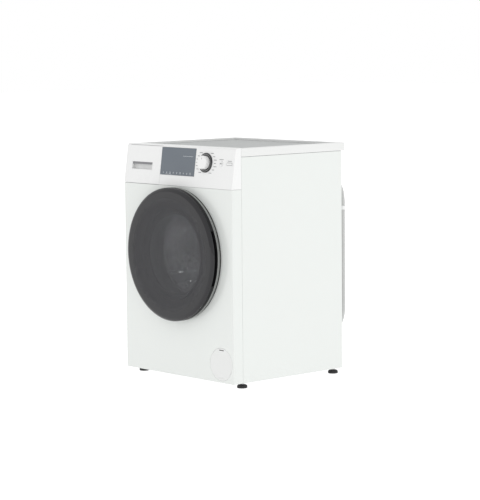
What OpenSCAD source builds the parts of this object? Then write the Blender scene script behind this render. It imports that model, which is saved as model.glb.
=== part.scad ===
// Front load washing machine, 24-inch compact class.
// The front faces -Y and +Z is up. x = 0 is the middle of the cabinet, z = 0 the floor.
// Depths written "back" are measured from the front panel's face towards the rear.

/* [Cabinet] */
// Width of the cabinet
cabinet_w = 597; // [590:0.1:720]
// Height from the floor to the top of the worktop rim
overall_h = 850; // [845:1:900]
// Depth from the front panel's face to the rear edge of the side panels
cabinet_d = 537; // [530:0.1:650]
// Thickness of the painted sheet steel
sheet_t = 1.5; // [1:0.1:2.5]
// Height of the panels' lower edge above the floor
panel_z = 20.5; // [18:0.5:26]
// Height of the seam between the front panel and the control fascia
fascia_z = 707; // [700:1:712]
// Depth of the front panel's and the fascia's side returns
return_d = 45; // [38:1:60]
// Radius of the front panel's upright corners
corner_r = 5; // [3:0.5:8]
// Width of the gap between neighbouring panels
seam = 0.6; // [0.4:0.1:1]
// Depth that the rearmost hose clip stands behind the side panels
rear_proud = 35; // [34:1:45]

/* [Worktop] */
// Height of the worktop's rim
worktop_t = 30; // [26:1:36]
// Width of the raised rim
rim_w = 22; // [16:1:30]
// Depth of the board below the rim
board_drop = 8; // [3:0.5:10]
// Thickness of the board
board_t = 6; // [4:1:10]
// Overhang of the worktop behind the side panels
worktop_over = 18; // [10:1:25]

/* [Control fascia] */
// Angle that the fascia leans back, in degrees
rake = 8; // [4:1:10]
// Wall of the fascia moulding
fascia_t = 2.5; // [2:0.5:4]
// Left edge of the display window
display_x0 = -97; // [-105:1:-95]
// Width of the display window
display_w = 188; // [170:1:195]
// Height of the display window
display_h = 100; // [90:1:104]
// Distance of the display window above the fascia's lower edge
display_s = 37.7; // [35:0.1:39]
// Thickness of the display window
display_t = 5; // [4:1:8]
// Position of the program knob across the fascia
knob_x = 148; // [140:1:160]
// Position of the program knob up the fascia
knob_s = 89.5; // [80:0.5:95]
// Radius of the knob
knob_r = 24; // [20:1:28]
// Height of the knob above the fascia
knob_h = 22; // [15:1:28]
// Radius of the ring round the knob
bezel_r = 35; // [30:1:38]
// Radius of the knob's shaft
knob_shaft_r = 3; // [2.5:0.5:4]
// Position of the start button across the fascia
start_x = 230; // [222:1:236]
// Radius of the start button
start_r = 9; // [7:1:12]
// Middle of the power button across the fascia
power_x = 274; // [268:1:278]
// Width of the power button
power_w = 30; // [24:1:34]
// Height of the power button
power_h = 9; // [7:1:12]
// Travel of the push buttons
button_travel = 1.5; // [1:0.5:3]

/* [Detergent drawer] */
// Thickness of the drawer's front
drawer_t = 20; // [18:1:22]
// Length of the drawer's tray
tray_l = 225; // [180:1:260]
// Height of the drawer's tray
tray_h = 58; // [50:1:60]
// Wall of the tray and of its housing
tray_wall = 2; // [1.5:0.5:3]
// Gap between the tray and its housing
tray_gap = 1.5; // [1:0.5:3]
// Width of the grip pocket
grip_w = 114; // [90:1:130]
// Height of the grip pocket
grip_h = 27; // [22:1:32]
// Depth of the grip pocket
grip_d = 14; // [10:1:15]

/* [Door] */
// Height of the door's middle
door_z = 462; // [455:1:465]
// Radius of the door
door_r = 240.5; // [200:0.1:241]
// Distance that the door stands out from the front panel
door_proud = 41; // [38:1:50]
// Gap between the door and the front panel
door_gap = 1; // [0.8:0.1:2]
// Thickness of the tinted cover
cover_t = 3.5; // [2.5:0.5:5]
// Height of the bright trim ring
trim_h = 10; // [8:1:12]
// Wall of the bright trim ring
trim_wall = 8.5; // [6:0.5:10]
// Thickness of the door's rear ring
rear_ring_t = 5; // [4:0.5:6]
// Radius of the glass bowl at its flange
bowl_r = 150; // [140:1:152]
// Radius of the glass bowl at its bottom
bowl_end_r = 112; // [100:1:116]
// Depth of the glass bowl behind the front panel's face
bowl_d = 120; // [90:1:125]
// Thickness of the glass
glass_t = 5; // [4:0.5:6]
// Radius of the porthole in the front panel
porthole_r = 166; // [162:1:170]
// Half angle of the finger recess in the door's rim, in degrees
recess_angle = 24; // [16:1:30]
// Depth of the finger recess
recess_d = 22; // [18:1:26]
// Distance of the hinge pin outside the door's rim
hinge_out = 9.5; // [9:0.5:12]
// Distance of the hinge pin in front of the front panel
hinge_fwd = 12; // [11:0.5:14]
// Radius of the hinge pin
hinge_pin_r = 3; // [2.5:0.5:3.5]
// Radius of the hinge knuckles
knuckle_r = 7; // [6:0.5:8]
// Half height of the hinge
hinge_half = 56; // [50:1:70]
// Distance of the latch hook outside the middle of the band between porthole and door edge
latch_out = 2.75; // [0:0.25:8]

/* [Tub and drum] */
// Outer radius of the drum
drum_r = 238; // [198:0.1:240]
// Sheet thickness of the drum
drum_t = 1.5; // [1:0.1:2]
// Length of the drum
drum_l = 332; // [300:1:340]
// Distance of the drum's front behind the front panel's face
drum_back = 74; // [72:1:90]
// Radius of the drum's mouth
drum_mouth_r = 166; // [160:1:170]
// Gap between the drum and the tub's wall
tub_gap = 10; // [8:0.5:12]
// Wall of the tub
tub_t = 4; // [3:0.5:6]
// Height of the drum's lifters
lifter_h = 54; // [40:1:60]
// Radius of the drum shaft
shaft_r = 12.5; // [10:0.5:15]
// Outer radius of the bearings
bearing_r = 26; // [24:1:32]
// Radius of the drum pulley
drum_pulley_r = 138; // [120:1:150]
// Radius of the motor pulley
motor_pulley_r = 11; // [9:0.5:14]
// Radius of the motor
motor_r = 60; // [50:1:64]
// Motor's position right of the middle
motor_x = 70; // [40:1:90]
// Thickness of the drive belt
belt_t = 4; // [3:0.5:5]
// Running clearance of pins and shafts, as a radius
run_gap = 0.05; // [0.03:0.01:0.1]

/* [Suspension] */
// Distance of the springs from the cabinet's sides
spring_in = 26.5; // [22:0.5:32]
// Outer radius of the springs
spring_r = 12; // [9:0.5:13]
// Thickness of the spring wire
spring_wire = 3.6; // [3:0.2:4.4]
// Distance of the dampers from the middle
damper_x = 204; // [190:1:208]
// Outer radius of the damper cylinders
damper_r = 14; // [12:1:16]
// Radius of the damper rods
damper_rod_r = 9; // [7:0.5:10]

/* [Feet] */
// Distance of the feet from the cabinet's sides
foot_in = 25.5; // [22:0.5:36]
// Distance of the front feet behind the front panel's face
foot_front = 63; // [50:1:80]
// Distance of the rear feet ahead of the side panels' rear edge
foot_rear = 24; // [22:1:60]
// Radius of a foot's pad
foot_r = 18.5; // [15:0.5:22]
// Height of a foot's pad
foot_h = 12; // [8:1:12]
// Radius of a foot's stud
stud_r = 5; // [4:0.5:6]

/* [Drain] */
// Filter door's position right of the middle
filter_x = 233; // [226:1:236]
// Height of the filter door's middle
filter_z = 86; // [82:1:90]
// Radius of the filter door
filter_door_r = 58; // [50:1:60]
// Radius of the filter
filter_r = 27; // [22:1:30]
// Diameter of the drain hose
hose_d = 22; // [18:1:22]
// Radius of the threads on the water inlets
inlet_r = 13.2; // [12:0.1:14]
// Length of the threads on the water inlets
inlet_l = 22; // [16:1:24]
// Distance between the two water inlets
inlet_pitch = 60; // [50:1:80]

/* [Hidden] */
$fn = 96;
foot_names = ["foot_front_left", "foot_front_right", "foot_rear_left", "foot_rear_right"];

// y of the front panel's face: the whole depth, door to hose clip, is centred on y = 0
front_y = door_proud - (door_proud + cabinet_d + rear_proud) / 2;
half_w = cabinet_w / 2;
worktop_z = overall_h - worktop_t;
flange_w = 12;
base_h = 24;

// Control fascia, seen from the side: distances up its slope are called s
slope_l = (overall_h - fascia_z) / cos(rake);
top_lean = (overall_h - fascia_z) * tan(rake);
fascia_edge_r = 8;
display_x1 = display_x0 + display_w;
drawer_x1 = display_x0 - seam;
button_s = knob_s;

// Detergent drawer and its housing
tray_x0 = -half_w + 18;
tray_x1 = drawer_x1 - 17;
tray_z0 = fascia_z + 19;
tray_back = drawer_t + 12;
housing_back = return_d + 1;
grip_x0 = -half_w + 38.5;
grip_s = 52;

// Door, as depths behind the front panel's face
cover_face = -door_proud;
ring_front = -door_proud + 10;
ring_rear = -door_gap - rear_ring_t - trim_h;
trim_rear = -door_gap - rear_ring_t;
hinge_x = -door_r - hinge_out;
latch_x = (porthole_r + door_r) / 2 + latch_out;
gasket_out_r = porthole_r + 17.5;
latch_back = -9;
latch_h = 16;
lock_w = 18;

// Tub, drum and drive, as depths behind the front panel's face
drum_end = drum_back + drum_l;
spider_t = 16;
tub_in_r = drum_r + tub_gap;
tub_r = tub_in_r + tub_t;
tub_front_back = drum_back - 12;
tub_split = drum_back + 126;
tub_wall_back = drum_end + spider_t + 6;
bearing_w = 15;
hub_end = tub_wall_back + 2 * bearing_w + 4;
pulley_back = hub_end + 6;
pulley_w = 16;
belt_w = 12;
belt_gap = 0.3;
motor_z = door_z - tub_r - motor_r - 20;
motor_back = tub_wall_back - 120;
motor_l = 130;
rotor_r = 6;
rotor_core_r = motor_r / 2;
mouth_r = drum_mouth_r + 6;
heater_half = 21;
heater_rod_r = 3.2;
lug_back = tub_wall_back - 98;

// Suspension and feet
spring_x = half_w - spring_in;
foot_x = half_w - foot_in;
damper_lug_x = min(damper_x - 14, tub_in_r - 58);
rail_z = worktop_z - 25;
rail_h = 20;
rail_w = 36;
spring_lug_z = door_z + 150;
damper_back = lug_back - 40;
damper_floor = panel_z + 24.5;
damper_top = 190;
rod_bottom = 100;
damper_lug_z = door_z - 167;

// Drain
pump_back = 104;
pump_r = filter_r + 7;
sump_x = 60;
sump_back = 112;
sump_pipe_z = 96;
sump_z0 = sump_pipe_z + 46;
sump_z1 = door_z - tub_r - 4;
outlet_x = 240;
outlet_z = 85;
pipe_top_z = 140;
hose_back = cabinet_d + 22;
hose_r = hose_d / 2;
clip_wall = 1.5;
clip_r = hose_r + 0.5 + clip_wall;
inlet_x = -200;
inlet_z = 775;
gland_x = -240;
gland_z = 110;

// Route of the drain hose: [x, z] points on the plane just behind the cabinet
hose_x = 278.5;
hose_bend = 100;
bend_x = hose_x - hose_bend;
bend_z = 635;
hose_route = concat(
    [[240, 100], [240, 120], [243, 140], [250, 160], [260, 180], [270, 200], [276, 220], [278.5, 245],
     [278.5, 300], [278.5, 360], [278.5, 420], [278.5, 480], [278.5, 540], [278.5, 600]],
    [for (a = [0:22.5:90]) [bend_x + hose_bend * cos(a), bend_z + hose_bend * sin(a)]],
    [[120, 735], [60, 735], [0, 735], [-60, 735], [-120, 735]],
    [for (a = [90:22.5:180]) [-bend_x + hose_bend * cos(a), bend_z + hose_bend * sin(a)]],
    [[-278.5, 580], [-278.5, 520], [-278.5, 460], [-278.5, 400], [-278.5, 340]]);
hose_sides = 10;
cuff_z = 340;

// ---- shapes that are used again and again ----

function unit(v) = v / norm(v);
function normal_at(p, i) =
    let (t = unit(p[min(i + 1, len(p) - 1)] - p[max(i - 1, 0)])) [-t[1], t[0]];
// Outline of a wall of thickness t along the middle line p
function strip(p, t) = concat(
    [for (i = [0:len(p) - 1]) p[i] + normal_at(p, i) * t / 2],
    [for (i = [len(p) - 1:-1:0]) p[i] - normal_at(p, i) * t / 2]);

// A box given by its two corners, with y as a depth behind the front panel's face
module block(a, b) {
    translate([a[0], front_y + a[1], a[2]]) cube([b[0] - a[0], b[1] - a[1], b[2] - a[2]]);
}

// A cylinder that runs back from depth "from" to depth "to"
module rod_y(r, from, to, x, z) {
    translate([x, front_y + from, z]) rotate([-90, 0, 0]) cylinder(r = r, h = to - from);
}

// An upright cylinder at depth "back"
module rod_z(r, z0, z1, x, back) {
    translate([x, front_y + back, z0]) cylinder(r = r, h = z1 - z0);
}

module tube_y(r, bore, from, to, x, z) {
    difference() {
        rod_y(r, from, to, x, z);
        rod_y(bore, from - 1, to + 1, x, z);
    }
}

// A shape turned about the door's axis, from an outline of [radius, depth] points
module turned(outline) {
    translate([0, front_y, door_z]) rotate([-90, 0, 0]) rotate_extrude() polygon(outline);
}

// A ring about the door's axis
module ring(r0, r1, from, to) {
    turned([[r0, from], [r1, from], [r1, to], [r0, to]]);
}

// The children in the raked plane of the fascia: y = 0 is its face, z runs up its slope
module on_fascia(x = 0, s = 0) {
    translate([x, front_y, fascia_z]) rotate([-rake, 0, 0]) translate([0, 0, s]) children();
}

module fascia_block(x0, x1, s0, s1, d0, d1) {
    on_fascia() translate([x0, d0, s0]) cube([x1 - x0, d1 - d0, s1 - s0]);
}

module fascia_rod(r, x, s, d0, d1) {
    on_fascia(x, s) translate([0, d0, 0]) rotate([-90, 0, 0]) cylinder(r = r, h = d1 - d0);
}

// A plan outline with two rounded front corners, w wide and d deep
module rounded_plan(w, d, r) {
    translate([-w / 2, r]) square([w, d - r]);
    translate([-w / 2 + r, 0]) square([w - 2 * r, r]);
    for (side = [-1, 1]) translate([side * (w / 2 - r), r]) circle(r);
}

module mirrored_x() {
    children();
    mirror([1, 0, 0]) children();
}

// ---- cabinet ----

// Galvanised base: a ring of channel with a plate and a threaded boss over each foot
module base_frame() {
    x1 = half_w - sheet_t - 0.5;
    b0 = return_d / 2;
    b1 = cabinet_d - sheet_t - 8;
    color("lightgray") difference() {
        block([-x1, b0, panel_z + 1], [x1, b1, panel_z + base_h]);
        block([-x1 + 2, b0 + 2, panel_z + 3], [x1 - 2, b1 - 2, panel_z + base_h + 1]);
        mirrored_x() block([25, b0 + 60, panel_z], [damper_x - 22, b1 - 60, panel_z + 4]);
        for (x = [-foot_x, foot_x], back = [foot_front, cabinet_d - foot_rear])
            rod_z(stud_r + run_gap, panel_z, panel_z + 5, x, back);
    }
    // Seats under the two dampers
    color("lightgray") mirrored_x()
        block([damper_x - 17, damper_back - 20, panel_z + 3],
              [damper_x + 17, damper_back + 20, damper_floor]);
}

// Painted side sheet with a flange turned inwards along its front and rear edges
module side_panel() {
    x1 = half_w;
    b0 = return_d + seam;
    z1 = worktop_z - 0.5;
    difference() {
        block([x1 - flange_w, b0, panel_z], [x1, cabinet_d, z1]);
        block([x1 - flange_w - 1, b0 + sheet_t, panel_z - 1], [x1 - sheet_t, cabinet_d - sheet_t, z1 + 1]);
        // The front flange stops above the base frame
        block([x1 - flange_w - 1, b0 - 1, panel_z - 1],
              [x1 - sheet_t, b0 + sheet_t + 1, panel_z + base_h + 1]);
    }
}

module left_side_panel() {
    color("white") mirror([1, 0, 0]) side_panel();
}

module right_side_panel() {
    color("white") side_panel();
}

// Pressed front with the porthole, the latch slot and the filter opening
module front_panel() {
    z1 = fascia_z - seam;
    color("white") difference() {
        translate([0, front_y, panel_z]) linear_extrude(z1 - panel_z) difference() {
            rounded_plan(cabinet_w, return_d, corner_r);
            translate([0, sheet_t]) rounded_plan(cabinet_w - 2 * sheet_t, return_d, corner_r - sheet_t);
        }
        rod_y(porthole_r, -1, sheet_t + 1, 0, door_z);
        rod_y(filter_door_r + 0.6, -1, sheet_t + 1, filter_x, filter_z);
        block([latch_x - lock_w / 2, -1, door_z - 13], [latch_x + lock_w / 2, sheet_t + 1, door_z + 13]);
    }
    // Edge of the porthole, turned inwards to carry the gasket
    color("white") turned([[porthole_r, sheet_t], [porthole_r + sheet_t, sheet_t],
                           [porthole_r + sheet_t, 11], [porthole_r, 11]]);
}

// Rear sheet inside the side panels' flanges
module rear_panel() {
    x1 = half_w - sheet_t - 0.2;
    z1 = worktop_z - 0.5;
    b1 = cabinet_d - sheet_t;
    color("gainsboro") difference() {
        block([-x1, b1 - sheet_t, panel_z + 4], [x1, b1, z1]);
        rod_y(150, b1 - 5, b1 + 1, 0, door_z);
        rod_y(hose_r + 2, b1 - 5, b1 + 1, outlet_x, outlet_z);
        rod_y(8, b1 - 5, b1 + 1, gland_x, gland_z);
        for (i = [0, 1]) rod_y(inlet_r + 1.5, b1 - 5, b1 + 1, inlet_x + i * inlet_pitch, inlet_z);
    }
}

// Pressed cover over the belt and pulley
module rear_access_cover() {
    b = cabinet_d - sheet_t + 0.6;
    color("silver") turned(strip([
        [0, b + 12], [118, b + 12], [128, b + 9], [138, b + 2], [146, b], [172, b]], 1.2));
}

// Welded frame of rails round the top of the cabinet
module top_frame() {
    x1 = half_w - sheet_t - 0.2;
    b0 = return_d + seam + sheet_t + 0.4;
    b1 = cabinet_d - 2 * sheet_t - 0.4;
    color("lightgray") difference() {
        block([-x1, b0, rail_z], [x1, b1, rail_z + rail_h]);
        block([-x1 + rail_w, b0 + 28, rail_z - 1], [x1 - rail_w, b1 - 28, rail_z + rail_h + 1]);
        block([-x1 + 1.5, b0 + 1.5, rail_z + 1.5], [x1 - 1.5, b1 - 1.5, rail_z + rail_h + 1]);
    }
}

// ---- worktop ----

module worktop_frame() {
    b0 = return_d + seam;
    b1 = cabinet_d + worktop_over;
    inset = rim_w + 12;
    board_z = overall_h - board_drop - board_t;
    color("white") difference() {
        block([-half_w, b0, worktop_z], [half_w, b1, overall_h]);
        block([-half_w + rim_w, b0 + rim_w, board_z], [half_w - rim_w, b1 - rim_w, overall_h + 1]);
        block([-half_w + inset, b0 + inset, worktop_z - 1], [half_w - inset, b1 - inset, overall_h]);
    }
}

module worktop_board() {
    gap = 0.3;
    b0 = return_d + seam + rim_w + gap;
    b1 = cabinet_d + worktop_over - rim_w - gap;
    x1 = half_w - rim_w - gap;
    z1 = overall_h - board_drop;
    color([0.70, 0.71, 0.70]) block([-x1, b0, z1 - board_t], [x1, b1, z1]);
}

// ---- control fascia ----

// Side view of the fascia, as [depth, height] points, drawn in by the wall w
function fascia_side(w) =
    let (r = fascia_edge_r, h = overall_h - fascia_z - w, d = (top_lean - w * tan(rake)) + w / cos(rake))
    concat([[w / cos(rake), w == 0 ? 0 : -1]],
        [for (i = [0:5]) let (a = 180 - rake - i * (90 - rake) / 5)
            [d + r * 0.92 + r * cos(a), h - r + r * sin(a)]],
        [[return_d + (w == 0 ? 0 : 1), h], [return_d + (w == 0 ? 0 : 1), w == 0 ? 0 : -1]]);

module fascia_solid(w) {
    translate([half_w - w, front_y, fascia_z]) rotate([90, 0, -90])
        linear_extrude(cabinet_w - 2 * w) mirror([1, 0]) polygon(fascia_side(w));
}

// Moulded front with recesses for the drawer, the display and the controls
module control_fascia() {
    color("white") difference() {
        union() {
            difference() {
                fascia_solid(0);
                fascia_solid(fascia_t);
            }
            // Wall behind the drawer's front
            intersection() {
                fascia_block(-half_w, drawer_x1 + fascia_t, 0, slope_l,
                             drawer_t + seam, drawer_t + seam + fascia_t);
                fascia_solid(0);
            }
            // Wall beside the drawer's front
            intersection() {
                fascia_block(drawer_x1, drawer_x1 + fascia_t, 0, slope_l, 0.5, drawer_t + seam + 1);
                fascia_solid(0);
            }
        }
        // Recess for the drawer's front, and the opening that its tray slides through
        fascia_block(-half_w - 1, drawer_x1, -9, slope_l - 3.5, -9, drawer_t + seam);
        block([tray_x0 - 3, 10, tray_z0 - 3], [tray_x1 + 3, return_d + 1, tray_z0 + tray_h + 3]);
        fascia_block(display_x0, display_x1, display_s, display_s + display_h, -3, display_t);
        fascia_block(display_x0 + 3, display_x1 - 3, display_s + 3, display_s + display_h - 3, -3, 12);
        fascia_rod(9, knob_x, knob_s, -3, 12);
        fascia_rod(start_r + 0.4, start_x, button_s, -3, 12);
        fascia_block(power_x - power_w / 2 - 0.4, power_x + power_w / 2 + 0.4,
                     button_s - power_h / 2 - 0.4, button_s + power_h / 2 + 0.4, -3, 12);
    }
}

module control_display() {
    color([0.27, 0.31, 0.36]) fascia_block(display_x0 + 0.3, display_x1 - 0.3,
        display_s + 0.3, display_s + display_h - 0.3, -0.6, display_t);
}

module knob_bezel() {
    color([0.12, 0.12, 0.13]) difference() {
        union() {
            fascia_rod(bezel_r, knob_x, knob_s, -4, 0);
            fascia_rod(8.8, knob_x, knob_s, 0, fascia_t + 3);
        }
        fascia_rod(knob_r + 0.6, knob_x, knob_s, -5, -2);
        fascia_rod(knob_shaft_r + 0.5, knob_x, knob_s, -9, 9);
    }
}

// Circuit board in its case, with the knob's encoder and the two switches
module control_board() {
    color("darkgreen") {
        fascia_block(display_x0 + 6, display_x1 - 6,
                     display_s + 6, display_s + display_h - 6, display_t + 0.5, 24);
        fascia_block(display_x1 - 8, power_x + 12, button_s - 16, button_s + 16, 14, 17);
        difference() {
            fascia_rod(11, knob_x, knob_s, 7, 15);
            fascia_rod(knob_shaft_r + run_gap, knob_x, knob_s, 6, 13);
        }
        fascia_block(start_x - 5, start_x + 5, button_s - 5, button_s + 5, 11, 15);
        fascia_block(power_x - 5, power_x + 5, button_s - 5, button_s + 5, 11, 15);
    }
}

module program_knob() {
    color("white") union() {
        difference() {
            fascia_rod(knob_r, knob_x, knob_s, -knob_h, -2.6);
            fascia_rod(knob_r - 2.5, knob_x, knob_s, -knob_h + 3, -2);
        }
        fascia_rod(knob_shaft_r + 3, knob_x, knob_s, -knob_h + 2, -4.6);
        fascia_rod(knob_shaft_r, knob_x, knob_s, -knob_h + 2, 12.5);
    }
}

// A button with a shoulder that stays behind the fascia
module start_button() {
    color("white") {
        fascia_rod(start_r, start_x, button_s, -1.6, 5);
        fascia_rod(start_r + 2, start_x, button_s, fascia_t + 0.4, 5);
        fascia_rod(2, start_x, button_s, 4, 11 - button_travel - 0.2);
    }
}

module power_button() {
    color("white") {
        fascia_block(power_x - power_w / 2, power_x + power_w / 2,
                     button_s - power_h / 2, button_s + power_h / 2, -1.6, 5);
        fascia_block(power_x - power_w / 2 - 1.5, power_x + power_w / 2 + 1.5,
                     button_s - power_h / 2 - 2, button_s + power_h / 2 + 2, fascia_t + 0.4, 5);
        fascia_rod(2, power_x, button_s, 4, 11 - button_travel - 0.2);
    }
}

// ---- detergent drawer ----

module drawer_front() {
    top_s = slope_l - 4.5;
    color("white") difference() {
        union() {
            intersection() {
                fascia_block(-half_w, drawer_x1 - seam, 0.6, top_s, 0, drawer_t);
                fascia_solid(0);
            }
            block([tray_x0, 14, tray_z0], [tray_x1, tray_back, tray_z0 + tray_h]);
        }
        // Everything in front of the raked face is cut away again
        fascia_block(-half_w - 1, 0, -20, slope_l + 9, -60, 0);
        // Grip pocket and the undercut above it that the fingers hook into
        fascia_block(grip_x0, grip_x0 + grip_w, grip_s, grip_s + grip_h, -1, grip_d);
        fascia_block(grip_x0, grip_x0 + grip_w, grip_s + grip_h - 1, grip_s + grip_h + 8, 5, grip_d);
    }
}

// Tray with two compartments for powder and a shallow one for softener
module drawer_tray() {
    x0 = tray_x0 + tray_gap;
    x1 = tray_x1 - tray_gap;
    b1 = tray_back + tray_l;
    z1 = tray_z0 + tray_h - 1;
    split_a = x0 + (x1 - x0) * 0.36;
    split_b = x0 + (x1 - x0) * 0.68;
    color([0.93, 0.94, 0.95]) difference() {
        block([x0, tray_back, tray_z0], [x1, b1, z1]);
        block([x0 + tray_wall, tray_back + tray_wall, tray_z0 + tray_wall],
              [split_a - 1, b1 - tray_wall, z1 + 1]);
        block([split_a + 1, tray_back + tray_wall, tray_z0 + tray_wall],
              [split_b - 1, b1 - tray_wall, z1 + 1]);
        block([split_b + 1, tray_back + tray_wall, tray_z0 + 16], [x1 - tray_wall, b1 - tray_wall, z1 + 1]);
    }
}

module dispenser_housing() {
    x0 = tray_x0 - tray_wall - 1;
    x1 = tray_x1 + tray_wall + 1;
    z0 = tray_z0 - tray_wall - tray_gap;
    z1 = tray_z0 + tray_h + tray_gap;
    b1 = tray_back + tray_l + 14;
    spout_x = (tray_x0 + tray_x1) / 2;
    color([0.85, 0.87, 0.9]) {
        difference() {
            block([x0, housing_back, z0], [x1, b1, z1 + tray_wall]);
            block([x0 + tray_wall, housing_back - 1, z0 + tray_wall], [x1 - tray_wall, b1 - tray_wall, z1]);
            rod_z(11, z0 - 1, z0 + tray_wall + 1, spout_x, b1 - 40);
        }
        // Outlet towards the tub
        difference() {
            rod_z(14, z0 - 22, z0, spout_x, b1 - 40);
            rod_z(11, z0 - 23, z0 + 1, spout_x, b1 - 40);
        }
        // Water inlets on the rear wall
        for (i = [0, 1]) rod_y(7, b1, b1 + 22, spout_x - 25 + 50 * i, z1 - 14);
    }
}

// Hot and cold valves: their threaded ports stand out of the rear panel
module inlet_valves() {
    b1 = cabinet_d - sheet_t;
    color([0.2, 0.35, 0.6]) for (i = [0, 1]) {
        x = inlet_x + i * inlet_pitch;
        difference() {
            union() {
                rod_y(inlet_r, b1, b1 + inlet_l, x, inlet_z);
                rod_y(inlet_r + 1, b1 - 4, b1, x, inlet_z);
                block([x - 18, b1 - 46, inlet_z - 17], [x + 18, b1 - sheet_t, inlet_z + 17]);
            }
            rod_y(8, b1 - 10, b1 + inlet_l + 1, x, inlet_z);
        }
        rod_z(15, inlet_z - 45, inlet_z - 17, x, b1 - 25);
    }
}

// ---- door ----

// Fixed half of the hinge, with the pin
module door_hinge_bracket() {
    lug = 10;
    color("white") {
        block([hinge_x - 12, -1.5, door_z - hinge_half - 4], [hinge_x + 8, 0, door_z + hinge_half + 4]);
        for (side = [-1, 1]) {
            z0 = door_z + side * hinge_half - (side > 0 ? lug : 0);
            rod_z(knuckle_r, z0, z0 + lug, hinge_x, -hinge_fwd);
            block([hinge_x - 5, -hinge_fwd, z0], [hinge_x + 5, -1, z0 + lug]);
        }
        rod_z(hinge_pin_r, door_z - hinge_half + 1, door_z + hinge_half - 1, hinge_x, -hinge_fwd);
    }
}

// Rear ring of the door with its hinge knuckles and the ears for the latch hook
module door_frame() {
    inner = porthole_r + 1;
    outer = door_r - trim_wall - 0.1;
    knuckle_z0 = 22;
    knuckle_z1 = 45;
    color([0.30, 0.30, 0.31]) difference() {
        union() {
            ring(bowl_r + 2, door_r - 1.5, trim_rear, -door_gap);
            ring(inner, inner + 3, ring_rear, trim_rear + 0.1);
            ring(outer - 3, outer, ring_rear, trim_rear + 0.1);
            for (side = [-1, 1]) {
                z0 = door_z + (side > 0 ? knuckle_z0 : -knuckle_z1);
                z1 = z0 + knuckle_z1 - knuckle_z0;
                rod_z(knuckle_r, z0, z1, hinge_x, -hinge_fwd);
                block([hinge_x, trim_rear, z0], [hinge_x + 26, -door_gap - 0.5, z1]);
                // Ears of the latch hook
                block([latch_x - 5, ring_rear, door_z + side * (latch_h / 2 + 4.5) - 2.5],
                      [latch_x + 5, trim_rear, door_z + side * (latch_h / 2 + 4.5) + 2.5]);
            }
        }
        rod_z(hinge_pin_r + run_gap, door_z - hinge_half, door_z + hinge_half, hinge_x, -hinge_fwd);
        rod_z(2 + run_gap, door_z - 20, door_z + 20, latch_x, latch_back);
        block([latch_x - 8, trim_rear - 1, door_z - latch_h / 2 - 1.5],
              [latch_x + 8, 0, door_z + latch_h / 2 + 1.5]);
    }
}

module door_trim_ring() {
    color([0.78, 0.79, 0.80]) ring(door_r - trim_wall, door_r, ring_rear, trim_rear);
}

// Dark rim of the door: a channel open to the front, with the finger recess opposite the hinge
module door_outer_ring() {
    seat = 7;
    floor_r = door_r - recess_d;
    color([0.16, 0.16, 0.17]) difference() {
        union() {
            ring(bowl_r + 9, door_r - 1, ring_rear - 2, ring_rear);
            ring(bowl_r + 12, bowl_r + 16, ring_front, ring_rear);
            ring(floor_r - 3, door_r, ring_front, ring_rear);
        }
        intersection() {
            ring(floor_r, door_r + 20, ring_front - 1, ring_rear - 2);
            recess_wedge(recess_angle);
        }
        difference() {
            ring(floor_r, door_r - seat, ring_front - 1, ring_rear - 3);
            recess_wedge(recess_angle + 1.5);
        }
    }
}

// Wedge of half angle a on the +X side of the door
module recess_wedge(a) {
    l = door_r + 60;
    translate([0, front_y + ring_rear + 1, door_z]) rotate([90, 0, 0])
        linear_extrude(door_proud) polygon([[0, 0], [l, -l * tan(a)], [l, l * tan(a)]]);
}

// Tinted dish that closes the door's front
module door_cover() {
    edge = 9;
    face = cover_face + cover_t / 2;
    color([0.22, 0.22, 0.24, 0.6]) {
        turned(strip([[0, face], [door_r - 34, face], [door_r - 16, face + 0.7], [door_r - edge, face + 2.4],
                      [door_r - 4, face + 4.4], [door_r - cover_t / 2, face + 6.5],
                      [door_r - cover_t / 2, ring_front - 0.1]], cover_t));
    }
}

// Pressed glass bowl
module door_glass() {
    knee = 16;
    seat = trim_rear - glass_t / 2 - 0.1;
    wall = bowl_r - glass_t / 2;
    end = bowl_d - glass_t / 2;
    end_wall = bowl_end_r - glass_t / 2;
    color([0.85, 0.9, 0.92, 0.4]) turned(strip([
        [bowl_r + 11.5, seat], [wall + 3, seat], [wall, seat + 4], [wall - 2, seat + 16],
        [end_wall + 6, end - knee - 6], [end_wall, end - knee / 2], [end_wall - knee / 2, end - 2],
        [end_wall - 1.6 * knee, end], [0, end]], glass_t));
}

// Sprung hook on its cross pin
module latch_hook() {
    color("silver") {
        difference() {
            block([latch_x - 3, latch_back - 4, door_z - latch_h / 2],
                  [latch_x + 3, 24, door_z + latch_h / 2]);
            block([latch_x - 4, 6, door_z - latch_h / 2 + 3], [latch_x + 4, 17, door_z + latch_h / 2 - 3]);
        }
        rod_z(2, door_z - 14.5, door_z + 14.5, latch_x, latch_back);
    }
}

// Lock case behind the front panel
module door_lock() {
    color([0.9, 0.9, 0.88]) difference() {
        block([max(latch_x - 16, gasket_out_r + 2), sheet_t, door_z - 34], [latch_x + 15, 40, door_z + 34]);
        block([latch_x - lock_w / 2, 0, door_z - 13], [latch_x + lock_w / 2, 34, door_z + 13]);
    }
}

// Bellows between the porthole and the tub's mouth
module door_gasket() {
    lip = bowl_r + 3;
    seat = mouth_r - tub_t / 2 - 1.8;
    color([0.55, 0.56, 0.57]) turned(strip([
        [porthole_r - 3, 3], [porthole_r - 3, 12], [lip + 4, 20], [lip, 28], [lip + 4, 36],
        [porthole_r + 2, 38], [porthole_r + 12, 34], [porthole_r + 16, 38], [porthole_r + 13, 44],
        [mouth_r + 2, 48], [seat, 52], [seat, tub_front_back + 10]], 3));
}

// ---- tub ----

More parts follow.
